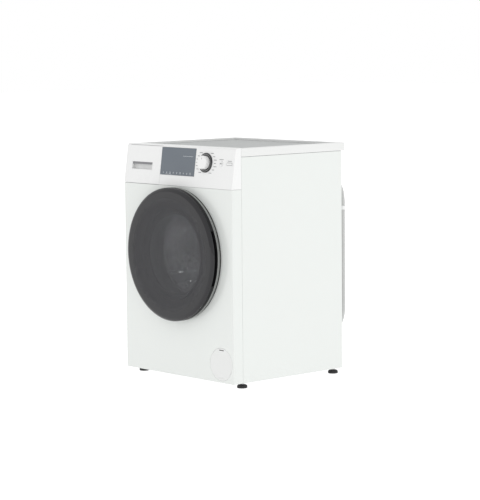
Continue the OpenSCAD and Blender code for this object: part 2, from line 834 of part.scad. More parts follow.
module tub_front() {
    b0 = tub_front_back + tub_t / 2;
    wall = tub_r - tub_t / 2;
    color([0.82, 0.83, 0.82]) {
        turned(strip([[mouth_r, tub_front_back - 8], [mouth_r, b0 + 3], [mouth_r + 6, b0], [wall - 14, b0],
                      [wall - 4, b0 + 4], [wall, b0 + 14], [wall, tub_split]], tub_t));
        ring(tub_r - 0.5, tub_r + 8, tub_split - 6, tub_split);
    }
}

// Rear half of the tub with the bearing hub and the lugs of motor, springs and dampers
module tub_rear() {
    ribs = 8;
    color([0.82, 0.83, 0.82]) difference() {
        union() {
            ring(0, tub_r, tub_split, tub_wall_back + 8);
            ring(0, tub_r + 8, tub_split, tub_split + 6);
            ring(0, bearing_r + 16, tub_wall_back, hub_end);
            for (i = [0:ribs - 1]) translate([0, front_y + tub_wall_back, door_z])
                rotate([0, i * 360 / ribs + 22.5, 0])
                translate([bearing_r + 10, 0, -3]) cube([tub_r - bearing_r - 14, 16, 6]);
            mirrored_x() {
                block([tub_r - 50, lug_back - 14, spring_lug_z - 22],
                      [spring_x + 13, lug_back + 14, spring_lug_z]);
                block([damper_lug_x, damper_back - 14, damper_lug_z],
                      [damper_x + 14, damper_back + 14, damper_lug_z + 60]);
            }
            // Hangers of the motor
            for (side = [-1, 1])
                block([motor_x + side * 44 - 9, motor_back + motor_l - 10, motor_z + 30],
                      [motor_x + side * 44 + 9, motor_back + motor_l, door_z - tub_in_r + 45]);
        }
        ring(0, tub_in_r, tub_split - 1, tub_wall_back);
        ring(0, bearing_r, tub_wall_back - 1, hub_end + 1);
        at_heater() for (side = [-1, 1]) translate([side * heater_half, tub_wall_back - 1, 0])
            rotate([-90, 0, 0]) cylinder(r = heater_rod_r + 1, h = 30);
        for (side = [-1, 1]) {
            rod_y(4, motor_back + motor_l - 11, motor_back + motor_l + 1, motor_x + side * 44, motor_z + 42);
        }
        block([-400, -100, 0], [400, tub_split, 900]);
    }
    // Spout of the sump
    color([0.82, 0.83, 0.82]) intersection() {
        difference() {
            rod_z(17, sump_z1, door_z - tub_r + 20, sump_x, tub_split + 22);
            rod_z(14, sump_z1 - 1, door_z - tub_r + 30, sump_x, tub_split + 22);
        }
        difference() {
            block([0, tub_split, 0], [120, tub_split + 60, door_z]);
            rod_y(tub_r - 0.5, tub_split - 1, tub_split + 70, 0, door_z);
        }
    }
}

// Cast ballast under the tub's mouth
module front_counterweight() {
    b0 = tub_front_back - 32;
    color([0.62, 0.61, 0.58]) intersection() {
        ring(mouth_r + 22, tub_r - 4, b0, tub_front_back - 0.3);
        translate([0, front_y, door_z]) rotate([90, 0, 0]) translate([0, 0, -tub_front_back])
            linear_extrude(60) polygon([[0, 0], [-400, -200], [-400, -400], [400, -400], [400, -200]]);
    }
}

// Cast ballast on top of the tub
module top_counterweight() {
    color([0.62, 0.61, 0.58]) difference() {
        block([-80, tub_split + 14, door_z + tub_r - 40], [150, tub_split + 170, door_z + tub_r + 50]);
        rod_y(tub_r + 0.05, tub_split, tub_split + 180, 0, door_z);
    }
}

// Two ball bearings in the hub
module drum_bearings() {
    color("silver") for (i = [0, 1])
        tube_y(bearing_r - 0.02, shaft_r + run_gap, tub_wall_back + 1 + i * (bearing_w + 2),
               tub_wall_back + 1 + i * (bearing_w + 2) + bearing_w, 0, door_z);
}

// The heater's place in the gap under the drum, clear of the motor's hangers
module at_heater() {
    lean = 11;
    r = tub_in_r - tub_gap / 2;
    translate([0, front_y, door_z]) rotate([0, lean, 0])
        translate([0, 0, -sqrt(r * r - heater_half * heater_half)]) children();
}

// Tubular heater with its flange behind the tub
module heating_element() {
    b0 = tub_split + 30;
    rear = tub_wall_back + 16.1;
    color("silver") at_heater() {
        for (side = [-1, 1]) translate([side * heater_half, b0, 0]) rotate([-90, 0, 0])
            cylinder(r = heater_rod_r, h = rear + 12 - b0);
        translate([-heater_half, b0, 0]) rotate([0, 90, 0]) cylinder(r = heater_rod_r, h = 2 * heater_half);
        translate([-heater_half - 14, rear, -10]) cube([2 * heater_half + 28, 3, 20]);
    }
}

// ---- drive ----

module motor() {
    ear_b = motor_back + motor_l;
    color([0.35, 0.36, 0.38]) difference() {
        union() {
            rod_y(motor_r, motor_back, ear_b - 12, motor_x, motor_z);
            rod_y(motor_r - 16, ear_b - 12, ear_b, motor_x, motor_z);
            rod_y(18, ear_b, ear_b + 8, motor_x, motor_z);
            block([motor_x - 56, ear_b, motor_z + 28], [motor_x + 56, ear_b + 5, motor_z + 54]);
            block([motor_x - 30, ear_b, motor_z - 10], [motor_x + 30, ear_b + 5, motor_z + 30]);
        }
        rod_y(rotor_core_r + 1, motor_back + 14, ear_b - 26, motor_x, motor_z);
        rod_y(rotor_r + run_gap, ear_b - 27, ear_b + 9, motor_x, motor_z);
        for (side = [-1, 1]) rod_y(4, ear_b - 1, ear_b + 6, motor_x + side * 44, motor_z + 42);
    }
}

// Rotor with its shaft and the small belt pulley
module motor_pulley() {
    color("silver") {
        rod_y(rotor_core_r, motor_back + 18, motor_back + motor_l - 30, motor_x, motor_z);
        rod_y(rotor_r, motor_back + motor_l - 31, pulley_back, motor_x, motor_z);
        rod_y(motor_pulley_r, pulley_back, pulley_back + pulley_w, motor_x, motor_z);
    }
}

// Outline of the belt's run, grown by g: the two pulleys' arcs joined along their outer tangents
function belt_outline(g) =
    let (r0 = drum_pulley_r + g, r1 = motor_pulley_r + g, c1 = [motor_x, door_z - motor_z],
         turn = atan2(c1[1], c1[0]), lean = acos((r0 - r1) / norm(c1)), arc = 360 - 2 * lean)
    concat([for (i = [0:40]) let (a = turn + lean + arc * i / 40) r0 * [cos(a), sin(a)]],
           [for (i = [0:10]) let (a = turn - lean + 2 * lean * i / 10) c1 + r1 * [cos(a), sin(a)]]);

module drive_belt() {
    from = pulley_back + (pulley_w - belt_w) / 2;
    color([0.1, 0.1, 0.1]) translate([0, front_y + from, door_z]) rotate([-90, 0, 0])
        linear_extrude(belt_w) difference() {
            polygon(belt_outline(belt_gap + belt_t));
            polygon(belt_outline(belt_gap));
        }
}

module drum_pulley() {
    spokes = 5;
    to = pulley_back + pulley_w;
    color([0.7, 0.71, 0.72]) {
        difference() {
            union() {
                rod_y(26, pulley_back, to, 0, door_z);
                tube_y(drum_pulley_r, drum_pulley_r - 8, pulley_back, to, 0, door_z);
                for (i = [0:spokes - 1]) translate([0, front_y + pulley_back + 5, door_z])
                    rotate([0, i * 360 / spokes + 18, 0])
                    translate([22, 0, -9]) cube([drum_pulley_r - 26, 6, 18]);
            }
            rod_y(shaft_r, pulley_back - 1, to + 1, 0, door_z);
        }
        // Bolt with its washer
        rod_y(17, to, to + 2, 0, door_z);
        translate([0, front_y + to + 2, door_z]) rotate([-90, 0, 0]) cylinder(r = 10, h = 6, $fn = 6);
    }
}

module drum_shell() {
    w = drum_r - drum_t / 2;
    b0 = drum_back + drum_t / 2;
    b1 = drum_end - drum_t / 2;
    color("silver") turned(strip([
        [drum_mouth_r, b0 + 10], [drum_mouth_r, b0 + 4], [drum_mouth_r + 3, b0],
        [w - 14, b0], [w - 4, b0 + 3],
        [w, b0 + 12], [w, b1 - 12], [w - 4, b1 - 3], [w - 14, b1], [0, b1]], drum_t));
}

// Three lifters that carry the laundry up
module drum_lifters() {
    b0 = drum_back + 20;
    b1 = drum_end - 14;
    r1 = drum_r - drum_t - 0.05;
    r0 = drum_r - lifter_h;
    color([0.88, 0.89, 0.9]) intersection() {
        for (a = [90, 210, 330]) translate([0, front_y + b1, door_z]) rotate([90, 0, 0]) rotate([0, 0, a])
            linear_extrude(b1 - b0) polygon([[r0 + 4, -9], [r0, -3], [r0, 3], [r0 + 4, 9],
                                             [drum_r + 5, 30], [drum_r + 5, -30]]);
        rod_y(r1, b0 - 1, b1 + 1, 0, door_z);
    }
}

// Cast star on the drum's back, with the shaft
module drum_spider() {
    tip_r = drum_r - 14;
    color([0.62, 0.63, 0.65]) {
        intersection() {
            union() {
                rod_y(46, drum_end, drum_end + spider_t, 0, door_z);
                for (a = [30, 150, 270]) translate([0, front_y + drum_end, door_z]) rotate([0, a, 0])
                    translate([0, 0, -18]) cube([drum_r, spider_t - 2, 36]);
            }
            rod_y(tip_r, drum_end - 1, drum_end + spider_t + 1, 0, door_z);
        }
        rod_y(shaft_r, drum_end + spider_t, pulley_back + pulley_w, 0, door_z);
    }
}

// ---- suspension ----

// One hanging spring: a coil between two end plugs
module spring() {
    turns = 9;
    plug = 8;
    z0 = spring_lug_z;
    z1 = rail_z;
    coil_r = spring_r - spring_wire / 2;
    translate([spring_x, front_y + lug_back, 0]) {
        translate([0, 0, z0]) cylinder(r = spring_r + 0.5, h = plug);
        translate([0, 0, z1 - plug]) cylinder(r = spring_r + 0.5, h = plug);
        translate([0, 0, z0 + plug - 1])
            linear_extrude(z1 - z0 - 2 * plug + 2, twist = -360 * turns, slices = 12 * turns, $fn = 6)
            translate([coil_r, 0]) circle(spring_wire / 2);
    }
}

module suspension_springs() {
    color([0.5, 0.5, 0.52]) mirrored_x() spring();
}

module damper_cylinders() {
    color([0.2, 0.2, 0.2]) mirrored_x() difference() {
        rod_z(damper_r, damper_floor, damper_top, damper_x, damper_back);
        rod_z(damper_rod_r + run_gap, damper_floor + 6, damper_top + 1, damper_x, damper_back);
    }
}

module damper_rods() {
    color("silver") mirrored_x() {
        rod_z(damper_rod_r, rod_bottom, damper_lug_z, damper_x, damper_back);
    }
}

// ---- drain ----

// Filter chamber, pump and its inlet pipe
module drain_pump() {
    chamber_end = pump_back + 14;
    mouth = 16;
    color([0.86, 0.87, 0.86]) difference() {
        union() {
            rod_y(pump_r, mouth, chamber_end, filter_x, filter_z);
            rod_y(pump_r + 3, mouth, mouth + 4, filter_x, filter_z);
            rod_y(pump_r - 4, chamber_end, chamber_end + 66, filter_x, filter_z);
            // Inlet pipe from the sump
            translate([sump_x, front_y + sump_back, sump_pipe_z]) rotate([0, 90, 0])
                cylinder(r = 16, h = filter_x - sump_x - 20);
            rod_z(16, sump_pipe_z - 16, sump_z0, sump_x, sump_back);
            // Outlet stub
            rod_z(11, filter_z + 20, pipe_top_z - 11, outlet_x, pump_back);
        }
        rod_y(filter_r + 0.4, mouth - 1, pump_back - 14, filter_x, filter_z);
        rod_y(filter_r - 3, pump_back - 15, chamber_end - 2, filter_x, filter_z);
        rod_y(3 + run_gap, chamber_end - 3, chamber_end + 10, filter_x, filter_z);
        rod_z(12, sump_pipe_z - 12, sump_z0 + 1, sump_x, sump_back);
    }
}

module pump_impeller() {
    b0 = pump_back - 8;
    b1 = pump_back + 10;
    color([0.3, 0.3, 0.32]) {
        rod_y(3, b0, b1 + 10, filter_x, filter_z);
        rod_y(filter_r - 6, b1 - 3, b1, filter_x, filter_z);
        for (a = [0, 45, 90, 135]) translate([filter_x, front_y + b0, filter_z]) rotate([0, a, 0])
            translate([-filter_r + 6, 0, -1]) cube([2 * filter_r - 12, b1 - b0 - 1, 2]);
    }
}

// Screw-in filter with its bar handle and basket
module drain_filter() {
    color([0.8, 0.82, 0.84]) difference() {
        union() {
            rod_y(filter_r, 14, pump_back - 16, filter_x, filter_z);
            rod_y(filter_r + 6, 12.5, 15.8, filter_x, filter_z);
            block([filter_x - 25, 5, filter_z - 4], [filter_x + 25, 13, filter_z + 4]);
        }
        rod_y(filter_r - 3, 40, pump_back - 15, filter_x, filter_z);
        for (a = [0, 60, 120]) translate([filter_x, front_y + 48, filter_z]) rotate([0, a, 0])
            translate([-filter_r - 2, 0, -7]) cube([2 * filter_r + 4, 30, 14]);
    }
}

// Round service flap, hinged along its lower edge
module filter_door() {
    hinge_z = filter_z - filter_door_r + 8;
    flap_pin_r = 1;
    color("white") {
        difference() {
            rod_y(filter_door_r, 0, 2, filter_x, filter_z);
            block([filter_x - 10, -1, filter_z + filter_door_r - 9],
                  [filter_x + 14, 3, filter_z + filter_door_r - 6]);
        }
        tube_y(filter_door_r - 6, filter_door_r - 8, 2, 4.5, filter_x, filter_z);
        translate([filter_x - 12, front_y, hinge_z]) rotate([0, 90, 0]) cylinder(r = flap_pin_r, h = 24);
    }
}

// Bellows from the tub's spout to the pump's inlet
module sump_hose() {
    n = 6;
    z1 = sump_z1;
    p = (z1 - sump_z0) / n;
    back = (tub_split + 22 + sump_back) / 2;
    color([0.1, 0.1, 0.1]) intersection() {
        hull() {
            rod_z(19, sump_z0, sump_z0 + 1, sump_x, sump_back, $fn = 32);
            rod_z(19, z1 - 1, z1, sump_x, tub_split + 22, $fn = 32);
        }
        block([0, 0, sump_z0], [200, 400, z1]);
    }
}

// Pipe from the pump to the rear, with the elbow that the hose slips onto
module drain_outlet() {
    b1 = cabinet_d - 2 * sheet_t;
    drop = pipe_top_z - outlet_z;
    run = b1 - pump_back;
    color([0.45, 0.46, 0.47]) {
        difference() {
            union() {
                translate([outlet_x, front_y + pump_back, pipe_top_z]) rotate([-90 - atan2(drop, run), 0, 0])
                    cylinder(r = 10.5, h = norm([drop, run]));
                translate([outlet_x, front_y + pump_back, pipe_top_z]) sphere(11);
            }
            block([outlet_x - 20, pump_back - 15, outlet_z - 20],
                  [outlet_x + 20, pump_back + 15, pipe_top_z - 11]);
            block([outlet_x - 20, b1, outlet_z - 20], [outlet_x + 20, b1 + 20, outlet_z + 20]);
        }
        rod_y(hose_r + 1, b1, hose_back, outlet_x, outlet_z);
        rod_y(hose_r + 6, cabinet_d - sheet_t, cabinet_d + 1, outlet_x, outlet_z);
        translate([outlet_x, front_y + hose_back, outlet_z]) sphere(hose_r + 1);
        rod_z(hose_r + 1, outlet_z, hose_route[0][1], outlet_x, hose_back);
    }
}

// A clip's ring, with its stem to the sheet behind it, in a plane of constant height
module clip_ring() {
    difference() {
        union() {
            cylinder(r = clip_r, h = 14, center = true);
            translate([-5, -hose_back + cabinet_d, -7]) cube([10, hose_back - cabinet_d - hose_r, 14]);
            translate([-9, -hose_back + cabinet_d, -7]) cube([18, 2, 14]);
        }
        cylinder(r = hose_r + 0.5, h = 20, center = true);
    }
}

module hose_clips() {
    y = front_y + hose_back;
    color("white") {
        translate([hose_x, y, 610]) clip_ring();
        translate([-hose_x, y, 520]) clip_ring();
        for (x = [-90, 90]) translate([x, y, bend_z + hose_bend]) rotate([0, 90, 0]) clip_ring();
    }
}

// The hose, swept along its route
module drain_hose() {
    n = len(hose_route);
    at = [for (p = hose_route) [p[0], front_y + hose_back, p[1]]];
    function dir(i) = unit(at[min(i + 1, n - 1)] - at[max(i - 1, 0)]);
    rings = [for (i = [0:n - 1], k = [0:hose_sides - 1])
        let (t = dir(i), side = unit(cross(t, [0, 1, 0])), a = 360 * k / hose_sides)
        at[i] + hose_r * (cos(a) * side + sin(a) * [0, 1, 0])];
    walls = [for (i = [0:n - 2], k = [0:hose_sides - 1])
        let (a = i * hose_sides + k, b = i * hose_sides + (k + 1) % hose_sides)
        [a, b, b + hose_sides, a + hose_sides]];
    caps = [[for (k = [hose_sides - 1:-1:0]) k], [for (k = [0:hose_sides - 1]) (n - 1) * hose_sides + k]];
    color([0.75, 0.76, 0.76]) polyhedron(rings, concat(walls, caps));
}

// Rubber cuff on the hose's free end
module hose_end_cuff() {
    color([0.25, 0.25, 0.25]) difference() {
        rod_z(hose_r + 2, cuff_z - 45, cuff_z, -hose_x, hose_back);
        rod_z(hose_r - 2, cuff_z - 46, cuff_z - 8, -hose_x, hose_back);
    }
}

module mains_gland() {
    color([0.15, 0.15, 0.15]) difference() {
        union() {
            rod_y(7.8, cabinet_d - 14, cabinet_d + 8, gland_x, gland_z);
            rod_y(11, cabinet_d - sheet_t, cabinet_d + 1, gland_x, gland_z);
        }
        rod_y(3.5, cabinet_d - 15, cabinet_d + 9, gland_x, gland_z);
    }
}

// ---- feet ----

module foot(name) {
    x = foot_x * (name == "foot_front_right" || name == "foot_rear_right" ? 1 : -1);
    back = name == "foot_front_left" || name == "foot_front_right" ? foot_front : cabinet_d - foot_rear;
    color([0.1, 0.1, 0.1]) {
        rod_z(foot_r, 0, foot_h - 3, x, back);
        rod_z(foot_r - 3, foot_h - 3, foot_h, x, back);
    }
    color("silver") rod_z(stud_r, foot_h - 1, panel_z + 22, x, back);
}

module foot_lock_nuts() {
    nut_h = 6;
    color("silver") for (x = [-foot_x, foot_x], back = [foot_front, cabinet_d - foot_rear]) difference() {
        translate([x, front_y + back, panel_z + 1 - nut_h]) cylinder(r = 9.5, h = nut_h, $fn = 6);
        rod_z(stud_r + run_gap, panel_z - nut_h, panel_z + 2, x, back);
    }
}

base_frame();
left_side_panel();
right_side_panel();
front_panel();
rear_panel();
rear_access_cover();
top_frame();
control_fascia();
worktop_frame();
worktop_board();
control_display();
knob_bezel();
control_board();
dispenser_housing();
inlet_valves();
door_hinge_bracket();
door_lock();
drain_pump();
drain_outlet();
hose_clips();
damper_cylinders();
mains_gland();
foot_lock_nuts();
tub_front();
tub_rear();
front_counterweight();
top_counterweight();
drum_bearings();
motor();
drive_belt();
heating_element();
damper_rods();
door_gasket();
suspension_springs();
sump_hose();
drum_shell();
drum_lifters();
drum_spider();
drum_pulley();
motor_pulley();
pump_impeller();
drain_filter();
filter_door();
drawer_tray();
drawer_front();
program_knob();
power_button();
start_button();
door_cover();
door_outer_ring();
door_trim_ring();
door_frame();
door_glass();
latch_hook();
drain_hose();
hose_end_cuff();
foot("foot_front_left");  // foot_front_left
foot("foot_front_right");  // foot_front_right
foot("foot_rear_left");  // foot_rear_left
foot("foot_rear_right");  // foot_rear_right
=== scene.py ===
"""Front load washing machine: cabinet, sprung tub and drum, round door, control fascia, drain and feet."""

import math

import bmesh
import bpy
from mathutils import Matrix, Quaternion, Vector


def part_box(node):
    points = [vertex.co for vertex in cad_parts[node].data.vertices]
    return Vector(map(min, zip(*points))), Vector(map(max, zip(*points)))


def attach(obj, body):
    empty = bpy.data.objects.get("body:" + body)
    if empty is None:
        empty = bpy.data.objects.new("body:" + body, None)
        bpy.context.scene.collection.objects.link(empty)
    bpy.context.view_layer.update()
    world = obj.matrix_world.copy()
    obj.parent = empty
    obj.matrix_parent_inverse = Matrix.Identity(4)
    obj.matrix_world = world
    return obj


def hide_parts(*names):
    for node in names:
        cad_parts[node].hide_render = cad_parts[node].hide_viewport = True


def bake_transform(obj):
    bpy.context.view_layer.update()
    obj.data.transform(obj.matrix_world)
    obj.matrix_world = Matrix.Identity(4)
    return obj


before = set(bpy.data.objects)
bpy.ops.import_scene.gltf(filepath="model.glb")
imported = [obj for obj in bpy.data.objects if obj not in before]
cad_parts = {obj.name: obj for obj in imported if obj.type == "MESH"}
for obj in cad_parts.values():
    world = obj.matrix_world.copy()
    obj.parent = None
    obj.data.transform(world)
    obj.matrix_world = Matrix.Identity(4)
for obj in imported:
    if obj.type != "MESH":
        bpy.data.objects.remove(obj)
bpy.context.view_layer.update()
MM = 0.001

# ---- Camera: a long lens a little above the worktop, looking at the front from its right ----
azimuth, elevation, roll = math.radians(48.12), math.radians(6.05), math.radians(-0.55)
distance = 7.584
aim = Vector((0.039, 0.003, 0.458))
back = Vector((math.sin(azimuth) * math.cos(elevation), -math.cos(azimuth) * math.cos(elevation),
               math.sin(elevation)))
lens = bpy.data.cameras.new("camera")
lens.lens = 148.8
lens.sensor_width = 36
lens.clip_start, lens.clip_end = 0.1, 100
camera = bpy.data.objects.new("camera", lens)
bpy.context.scene.collection.objects.link(camera)
camera.location = aim + back * distance
camera.rotation_mode = "QUATERNION"
camera.rotation_quaternion = (-back).to_track_quat("-Z", "Y") @ Quaternion((0, 0, 1), roll)
bpy.context.scene.camera = camera
bpy.context.scene.view_settings.view_transform = "Standard"


# ---- Drain hose: corrugated grey polypropylene, drawn out of the outlet elbow, clipped up and across
# the back, and ended in a plain rubber cuff for the standpipe ----
class Wire:
    """A shader socket in plain arithmetic: each operation adds its Math node, node() adds any other."""

    def __init__(self, tree, socket=None):
        self.tree = tree
        self.socket = socket

    def node(self, kind, settings=None, sockets=None, output=0):
        made = self.tree.nodes.new("ShaderNode" + kind)
        for name, setting in (settings or {}).items():
            if name == "stops":
                for place, colour in setting[1:-1]:
                    made.color_ramp.elements.new(place)
                for stop, (place, colour) in zip(made.color_ramp.elements, setting):
                    stop.position = place
                    stop.color = (*colour, 1)
            else:
                setattr(made, name, setting)
        for name, value in (sockets or {}).items():
            if isinstance(value, Wire):
                self.tree.links.new(value.socket, made.inputs[name])
            else:
                made.inputs[name].default_value = value
        return Wire(self.tree, made.outputs[output])

    def math(self, operation, *values):
        return self.node("Math", {"operation": operation}, dict(enumerate(values)))

    def __add__(self, other):
        return self.math("ADD", self, other)

    def __sub__(self, other):
        return self.math("SUBTRACT", self, other)

    def __mul__(self, other):
        return self.math("MULTIPLY", self, other)


def blank(name, constants):
    """A new material with its constants set, its shader, a first wire and its object coordinates."""
    made = bpy.data.materials.new(name + "_finish")
    made["slot"] = name
    made.use_nodes = True
    shader = made.node_tree.nodes["Principled BSDF"]
    for socket, value in constants.items():
        shader.inputs[socket].default_value = value
    start = Wire(made.node_tree)
    return made, shader, start, start.node("TexCoord", output="Object")


def feed(shader, **inputs):
    """Links wires to the shader's sockets, where relief is a height for its bump, given with its depth."""
    links = shader.id_data.links
    for name, wire in inputs.items():
        if name == "relief":
            height, depth = wire
            bump = height.node("Bump", None, {"Height": height, "Distance": depth, "Strength": 1.0})
            links.new(bump.socket, shader.inputs["Normal"])
        else:
            links.new(wire.socket, shader.inputs[name.replace("_", " ")])


def noise(start, place, scale, detail=3.0, rough=0.5):
    """Clouds of lighter and darker tone over the object's own coordinates."""
    sockets = {"Vector": place, "Scale": scale, "Detail": detail, "Roughness": rough}
    return start.node("TexNoise", {}, sockets)


def colour_mix(factor, dark, light):
    """A colour between a dark one and a light one."""
    return factor.node("Mix", {"data_type": "RGBA"}, {0: factor, 6: dark, 7: light}, output=2)


def shade(colour, share):
    """A colour made darker or lighter by a share."""
    return (*[min(1.0, c * share) for c in colour], 1.0)


def moulding(name, colour, roughness, spread=0.05, patch=9.0, grain=1400.0, depth=0.00002, **constants):
    """Plastic, rubber or paint: slow shifts of tone, a fine grain, and a sheen that varies with both."""
    made, shader, start, place = blank(name, constants)
    cloud = noise(start, place, patch, 4.0, 0.6)
    fine = noise(start, place, grain, 2.0)
    tone = cloud * 0.7 + fine * 0.3
    feed(shader, Base_Color=colour_mix(tone, shade(colour, 1 - spread), shade(colour, 1 + spread)),
         Roughness=(cloud - 0.5) * 0.16 + (fine - 0.5) * 0.1 + roughness, relief=(fine, depth))
    return made


def piece(name, verts, faces, material, body, smooth=35):
    """A mesh that rides on a CAD body and takes its slot from its material."""
    mesh = bpy.data.meshes.new(name)
    mesh.from_pydata([tuple(v) for v in verts], [], faces)
    return placed(name, mesh, material, body, smooth)


def placed(name, mesh, material, body, smooth):
    """The mesh, welded and shaded, as an object that rides on a CAD body."""
    welded = bmesh.new()
    welded.from_mesh(mesh)
    bmesh.ops.remove_doubles(welded, verts=welded.verts, dist=0.000002)
    bmesh.ops.recalc_face_normals(welded, faces=welded.faces)
    welded.to_mesh(mesh)
    welded.free()
    mesh.shade_smooth()
    mesh.set_sharp_from_angle(angle=math.radians(smooth))
    mesh.materials.append(material)
    made = bpy.data.objects.new(name, mesh)
    bpy.context.scene.collection.objects.link(made)
    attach(made, body)
    return made


def tube(points, radii, sides, flat):
    """A closed tube about a row of points, its sides set from the flat direction, one radius per point."""
    verts, faces = [], []
    last = len(points) - 1
    for i, point in enumerate(points):
        along = (points[min(i + 1, last)] - points[max(i - 1, 0)]).normalized()
        side = along.cross(flat).normalized()
        up = side.cross(along)
        for k in range(sides):
            a = 2 * math.pi * k / sides
            verts.append(point + (side * math.cos(a) + up * math.sin(a)) * radii[i])
    for i in range(last):
        for k in range(sides):
            a, b = i * sides + k, i * sides + (k + 1) % sides
            faces.append((a, b, b + sides, a + sides))
    faces.append(tuple(range(sides))[::-1])
    faces.append(tuple(last * sides + k for k in range(sides)))
    return verts, faces


def curve_through(knots, step):
    """Points a step apart on a smooth curve through the knots."""
    points = [knots[0]]
    for i in range(len(knots) - 1):
        p0, p1 = knots[max(i - 1, 0)], knots[i]
        p2, p3 = knots[i + 1], knots[min(i + 2, len(knots) - 1)]
        count = max(1, round((p2 - p1).length / step))
        for j in range(1, count + 1):
            t = j / count
            points.append(0.5 * (2 * p1 + (p2 - p0) * t + (2 * p0 - 5 * p1 + 4 * p2 - p3) * t * t
                                 + (3 * p1 - p0 - 3 * p2 + p3) * t ** 3))
    return points


hose_d = 0.022
hose_y = sum(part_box("hose_end_cuff")[i].y for i in (0, 1)) / 2
hose_x, bend_r, bend_z = 0.2785, 0.100, 0.635
bend_x = hose_x - bend_r
quarter = [math.radians(22.5 * i) for i in range(5)]
route = ([(0.240, 0.100), (0.240, 0.120), (0.243, 0.140), (0.250, 0.160), (0.260, 0.180), (0.270, 0.200),
          (0.276, 0.220), (0.2785, 0.245), (0.2785, 0.300), (0.2785, 0.360), (0.2785, 0.420),
          (0.2785, 0.480), (0.2785, 0.540), (0.2785, 0.600)]
         + [(bend_x + bend_r * math.cos(a), bend_z + bend_r * math.sin(a)) for a in quarter]
         + [(0.120, 0.735), (0.060, 0.735), (0.000, 0.735), (-0.060, 0.735), (-0.120, 0.735)]
         + [(-bend_x - bend_r * math.sin(a), bend_z + bend_r * math.cos(a)) for a in quarter]
         + [(-0.2785, 0.580), (-0.2785, 0.520), (-0.2785, 0.460), (-0.2785, 0.400), (-0.2785, 0.340)])
route = [Vector((x, hose_y, z)) for x, z in route]
line_step = 1.2 * MM
hose_line = curve_through(route, line_step)
hose_length = sum((b - a).length for a, b in zip(hose_line, hose_line[1:]))
rib_pitch, rib_depth = 5.0 * MM, 1.5 * MM
plain_end, plain_inset = 24 * MM, 0.2 * MM
hose_radii = []
run = 0.0
for i, point in enumerate(hose_line):
    run += (point - hose_line[max(i - 1, 0)]).length
    wave = 0.5 - 0.5 * math.cos(2 * math.pi * run / rib_pitch)
    ribbed = plain_end < run < hose_length - plain_end
    hose_radii.append(hose_d / 2 - (rib_depth * wave ** 1.5 if ribbed else plain_inset))
hose_grey = moulding("hose_grey", (0.52, 0.53, 0.52), 0.42, spread=0.07, patch=14, depth=0.00003)
hose = piece("ribbed_drain_hose", *tube(hose_line, hose_radii, 20, Vector((0, 1, 0))), hose_grey, "cabinet",
             60)
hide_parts("drain_hose")
black_rubber = moulding("black_rubber", (0.018, 0.018, 0.019), 0.62, spread=0.35, patch=30, depth=0.00005)


def turned(outline, at, axis, steps=96, sweep=None):
    """A closed outline of (radius, distance along the axis) points turned about an axis through a point."""
    axis = Vector(axis).normalized()
    side = axis.orthogonal().normalized()
    other = axis.cross(side)
    verts, faces = [], []
    count = len(outline)
    for k in range(steps):
        a = 2 * math.pi * k / steps
        ray = side * math.cos(a) + other * math.sin(a)
        for r, d in outline:
            change = sweep(r, d, a) if sweep else (r, d)
            verts.append(Vector(at) + axis * change[1] + ray * change[0])
        for i in range(count):
            j, n = (i + 1) % count, (k + 1) % steps
            faces.append((k * count + i, k * count + j, n * count + j, n * count + i))
    return verts, faces


def eased(outline, radius, steps=4):
    """The outline with each corner off the axis rounded."""
    made = []
    count = len(outline)
    for i, (r, d) in enumerate(outline):
        here = Vector((r, d))
        if r < 1e-6:
            made.append((r, d))
            continue
        before, after = Vector(outline[i - 1]) - here, Vector(outline[(i + 1) % count]) - here
        cut = min(radius, before.length * 0.48, after.length * 0.48)
        start, end = here + before.normalized() * cut, here + after.normalized() * cut
        for j in range(steps + 1):
            t = j / steps
            made.append(tuple(start * (1 - t) ** 2 + here * 2 * t * (1 - t) + end * t * t))
    return made


cuff_low, cuff_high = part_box("hose_end_cuff")
cuff_l = cuff_high.z - cuff_low.z
cuff_r = (cuff_high.x - cuff_low.x) / 2
cuff_at = ((cuff_low.x + cuff_high.x) / 2, hose_y, cuff_low.z)
cuff_bore_r, grip_count = 9 * MM, 5
grip_start, grip_pitch, grip_depth = 8 * MM, 6 * MM, 1.0 * MM
grips = []
for i in range(grip_count):
    z = grip_start + i * grip_pitch
    grips += [(cuff_r, z), (cuff_r - grip_depth, z + grip_pitch * 0.25),
              (cuff_r - grip_depth, z + grip_pitch * 0.5), (cuff_r, z + grip_pitch * 0.75)]
cuff_outline = [(cuff_bore_r, cuff_l), (cuff_bore_r, 0), (cuff_r, 0)] + grips + [(cuff_r, cuff_l)]
cuff = piece("hose_cuff_grips", *turned(eased(cuff_outline, 0.6 * MM), cuff_at, (0, 0, 1), 48), black_rubber,
             "cabinet")
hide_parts("hose_end_cuff")
hose_line[::8] + [hose_line[-1]]

# ---- Floor and studio: a pale floor that shines back softly, white surroundings, and one large soft
# light at the machine's right ----
floor_half = 30.0
pale, pale_shader, pale_start, pale_place = blank("studio_floor", {"Roughness": 0.9})
pale_shader.inputs["Emission Strength"].default_value = 0.93
floor_tone = noise(pale_start, pale_place, 0.5)
floor_glow = noise(pale_start, pale_place, 0.7)
feed(pale_shader, Base_Color=colour_mix(floor_tone, (0.30, 0.30, 0.30, 1), (0.32, 0.32, 0.32, 1)),
     Emission_Color=colour_mix(floor_glow, (1, 1, 1, 1), (0.99, 0.99, 0.99, 1)))
floor_mesh = bpy.data.meshes.new("floor")
floor_mesh.from_pydata([(x, y, 0) for x, y in ((-floor_half, -floor_half), (floor_half, -floor_half),
                                               (floor_half, floor_half), (-floor_half, floor_half))],
                       [], [(0, 1, 2, 3)])
floor_mesh.materials.append(pale)
floor = bpy.data.objects.new("floor", floor_mesh)
bpy.context.scene.collection.objects.link(floor)
world = bpy.data.worlds.new("studio")
world.use_nodes = True
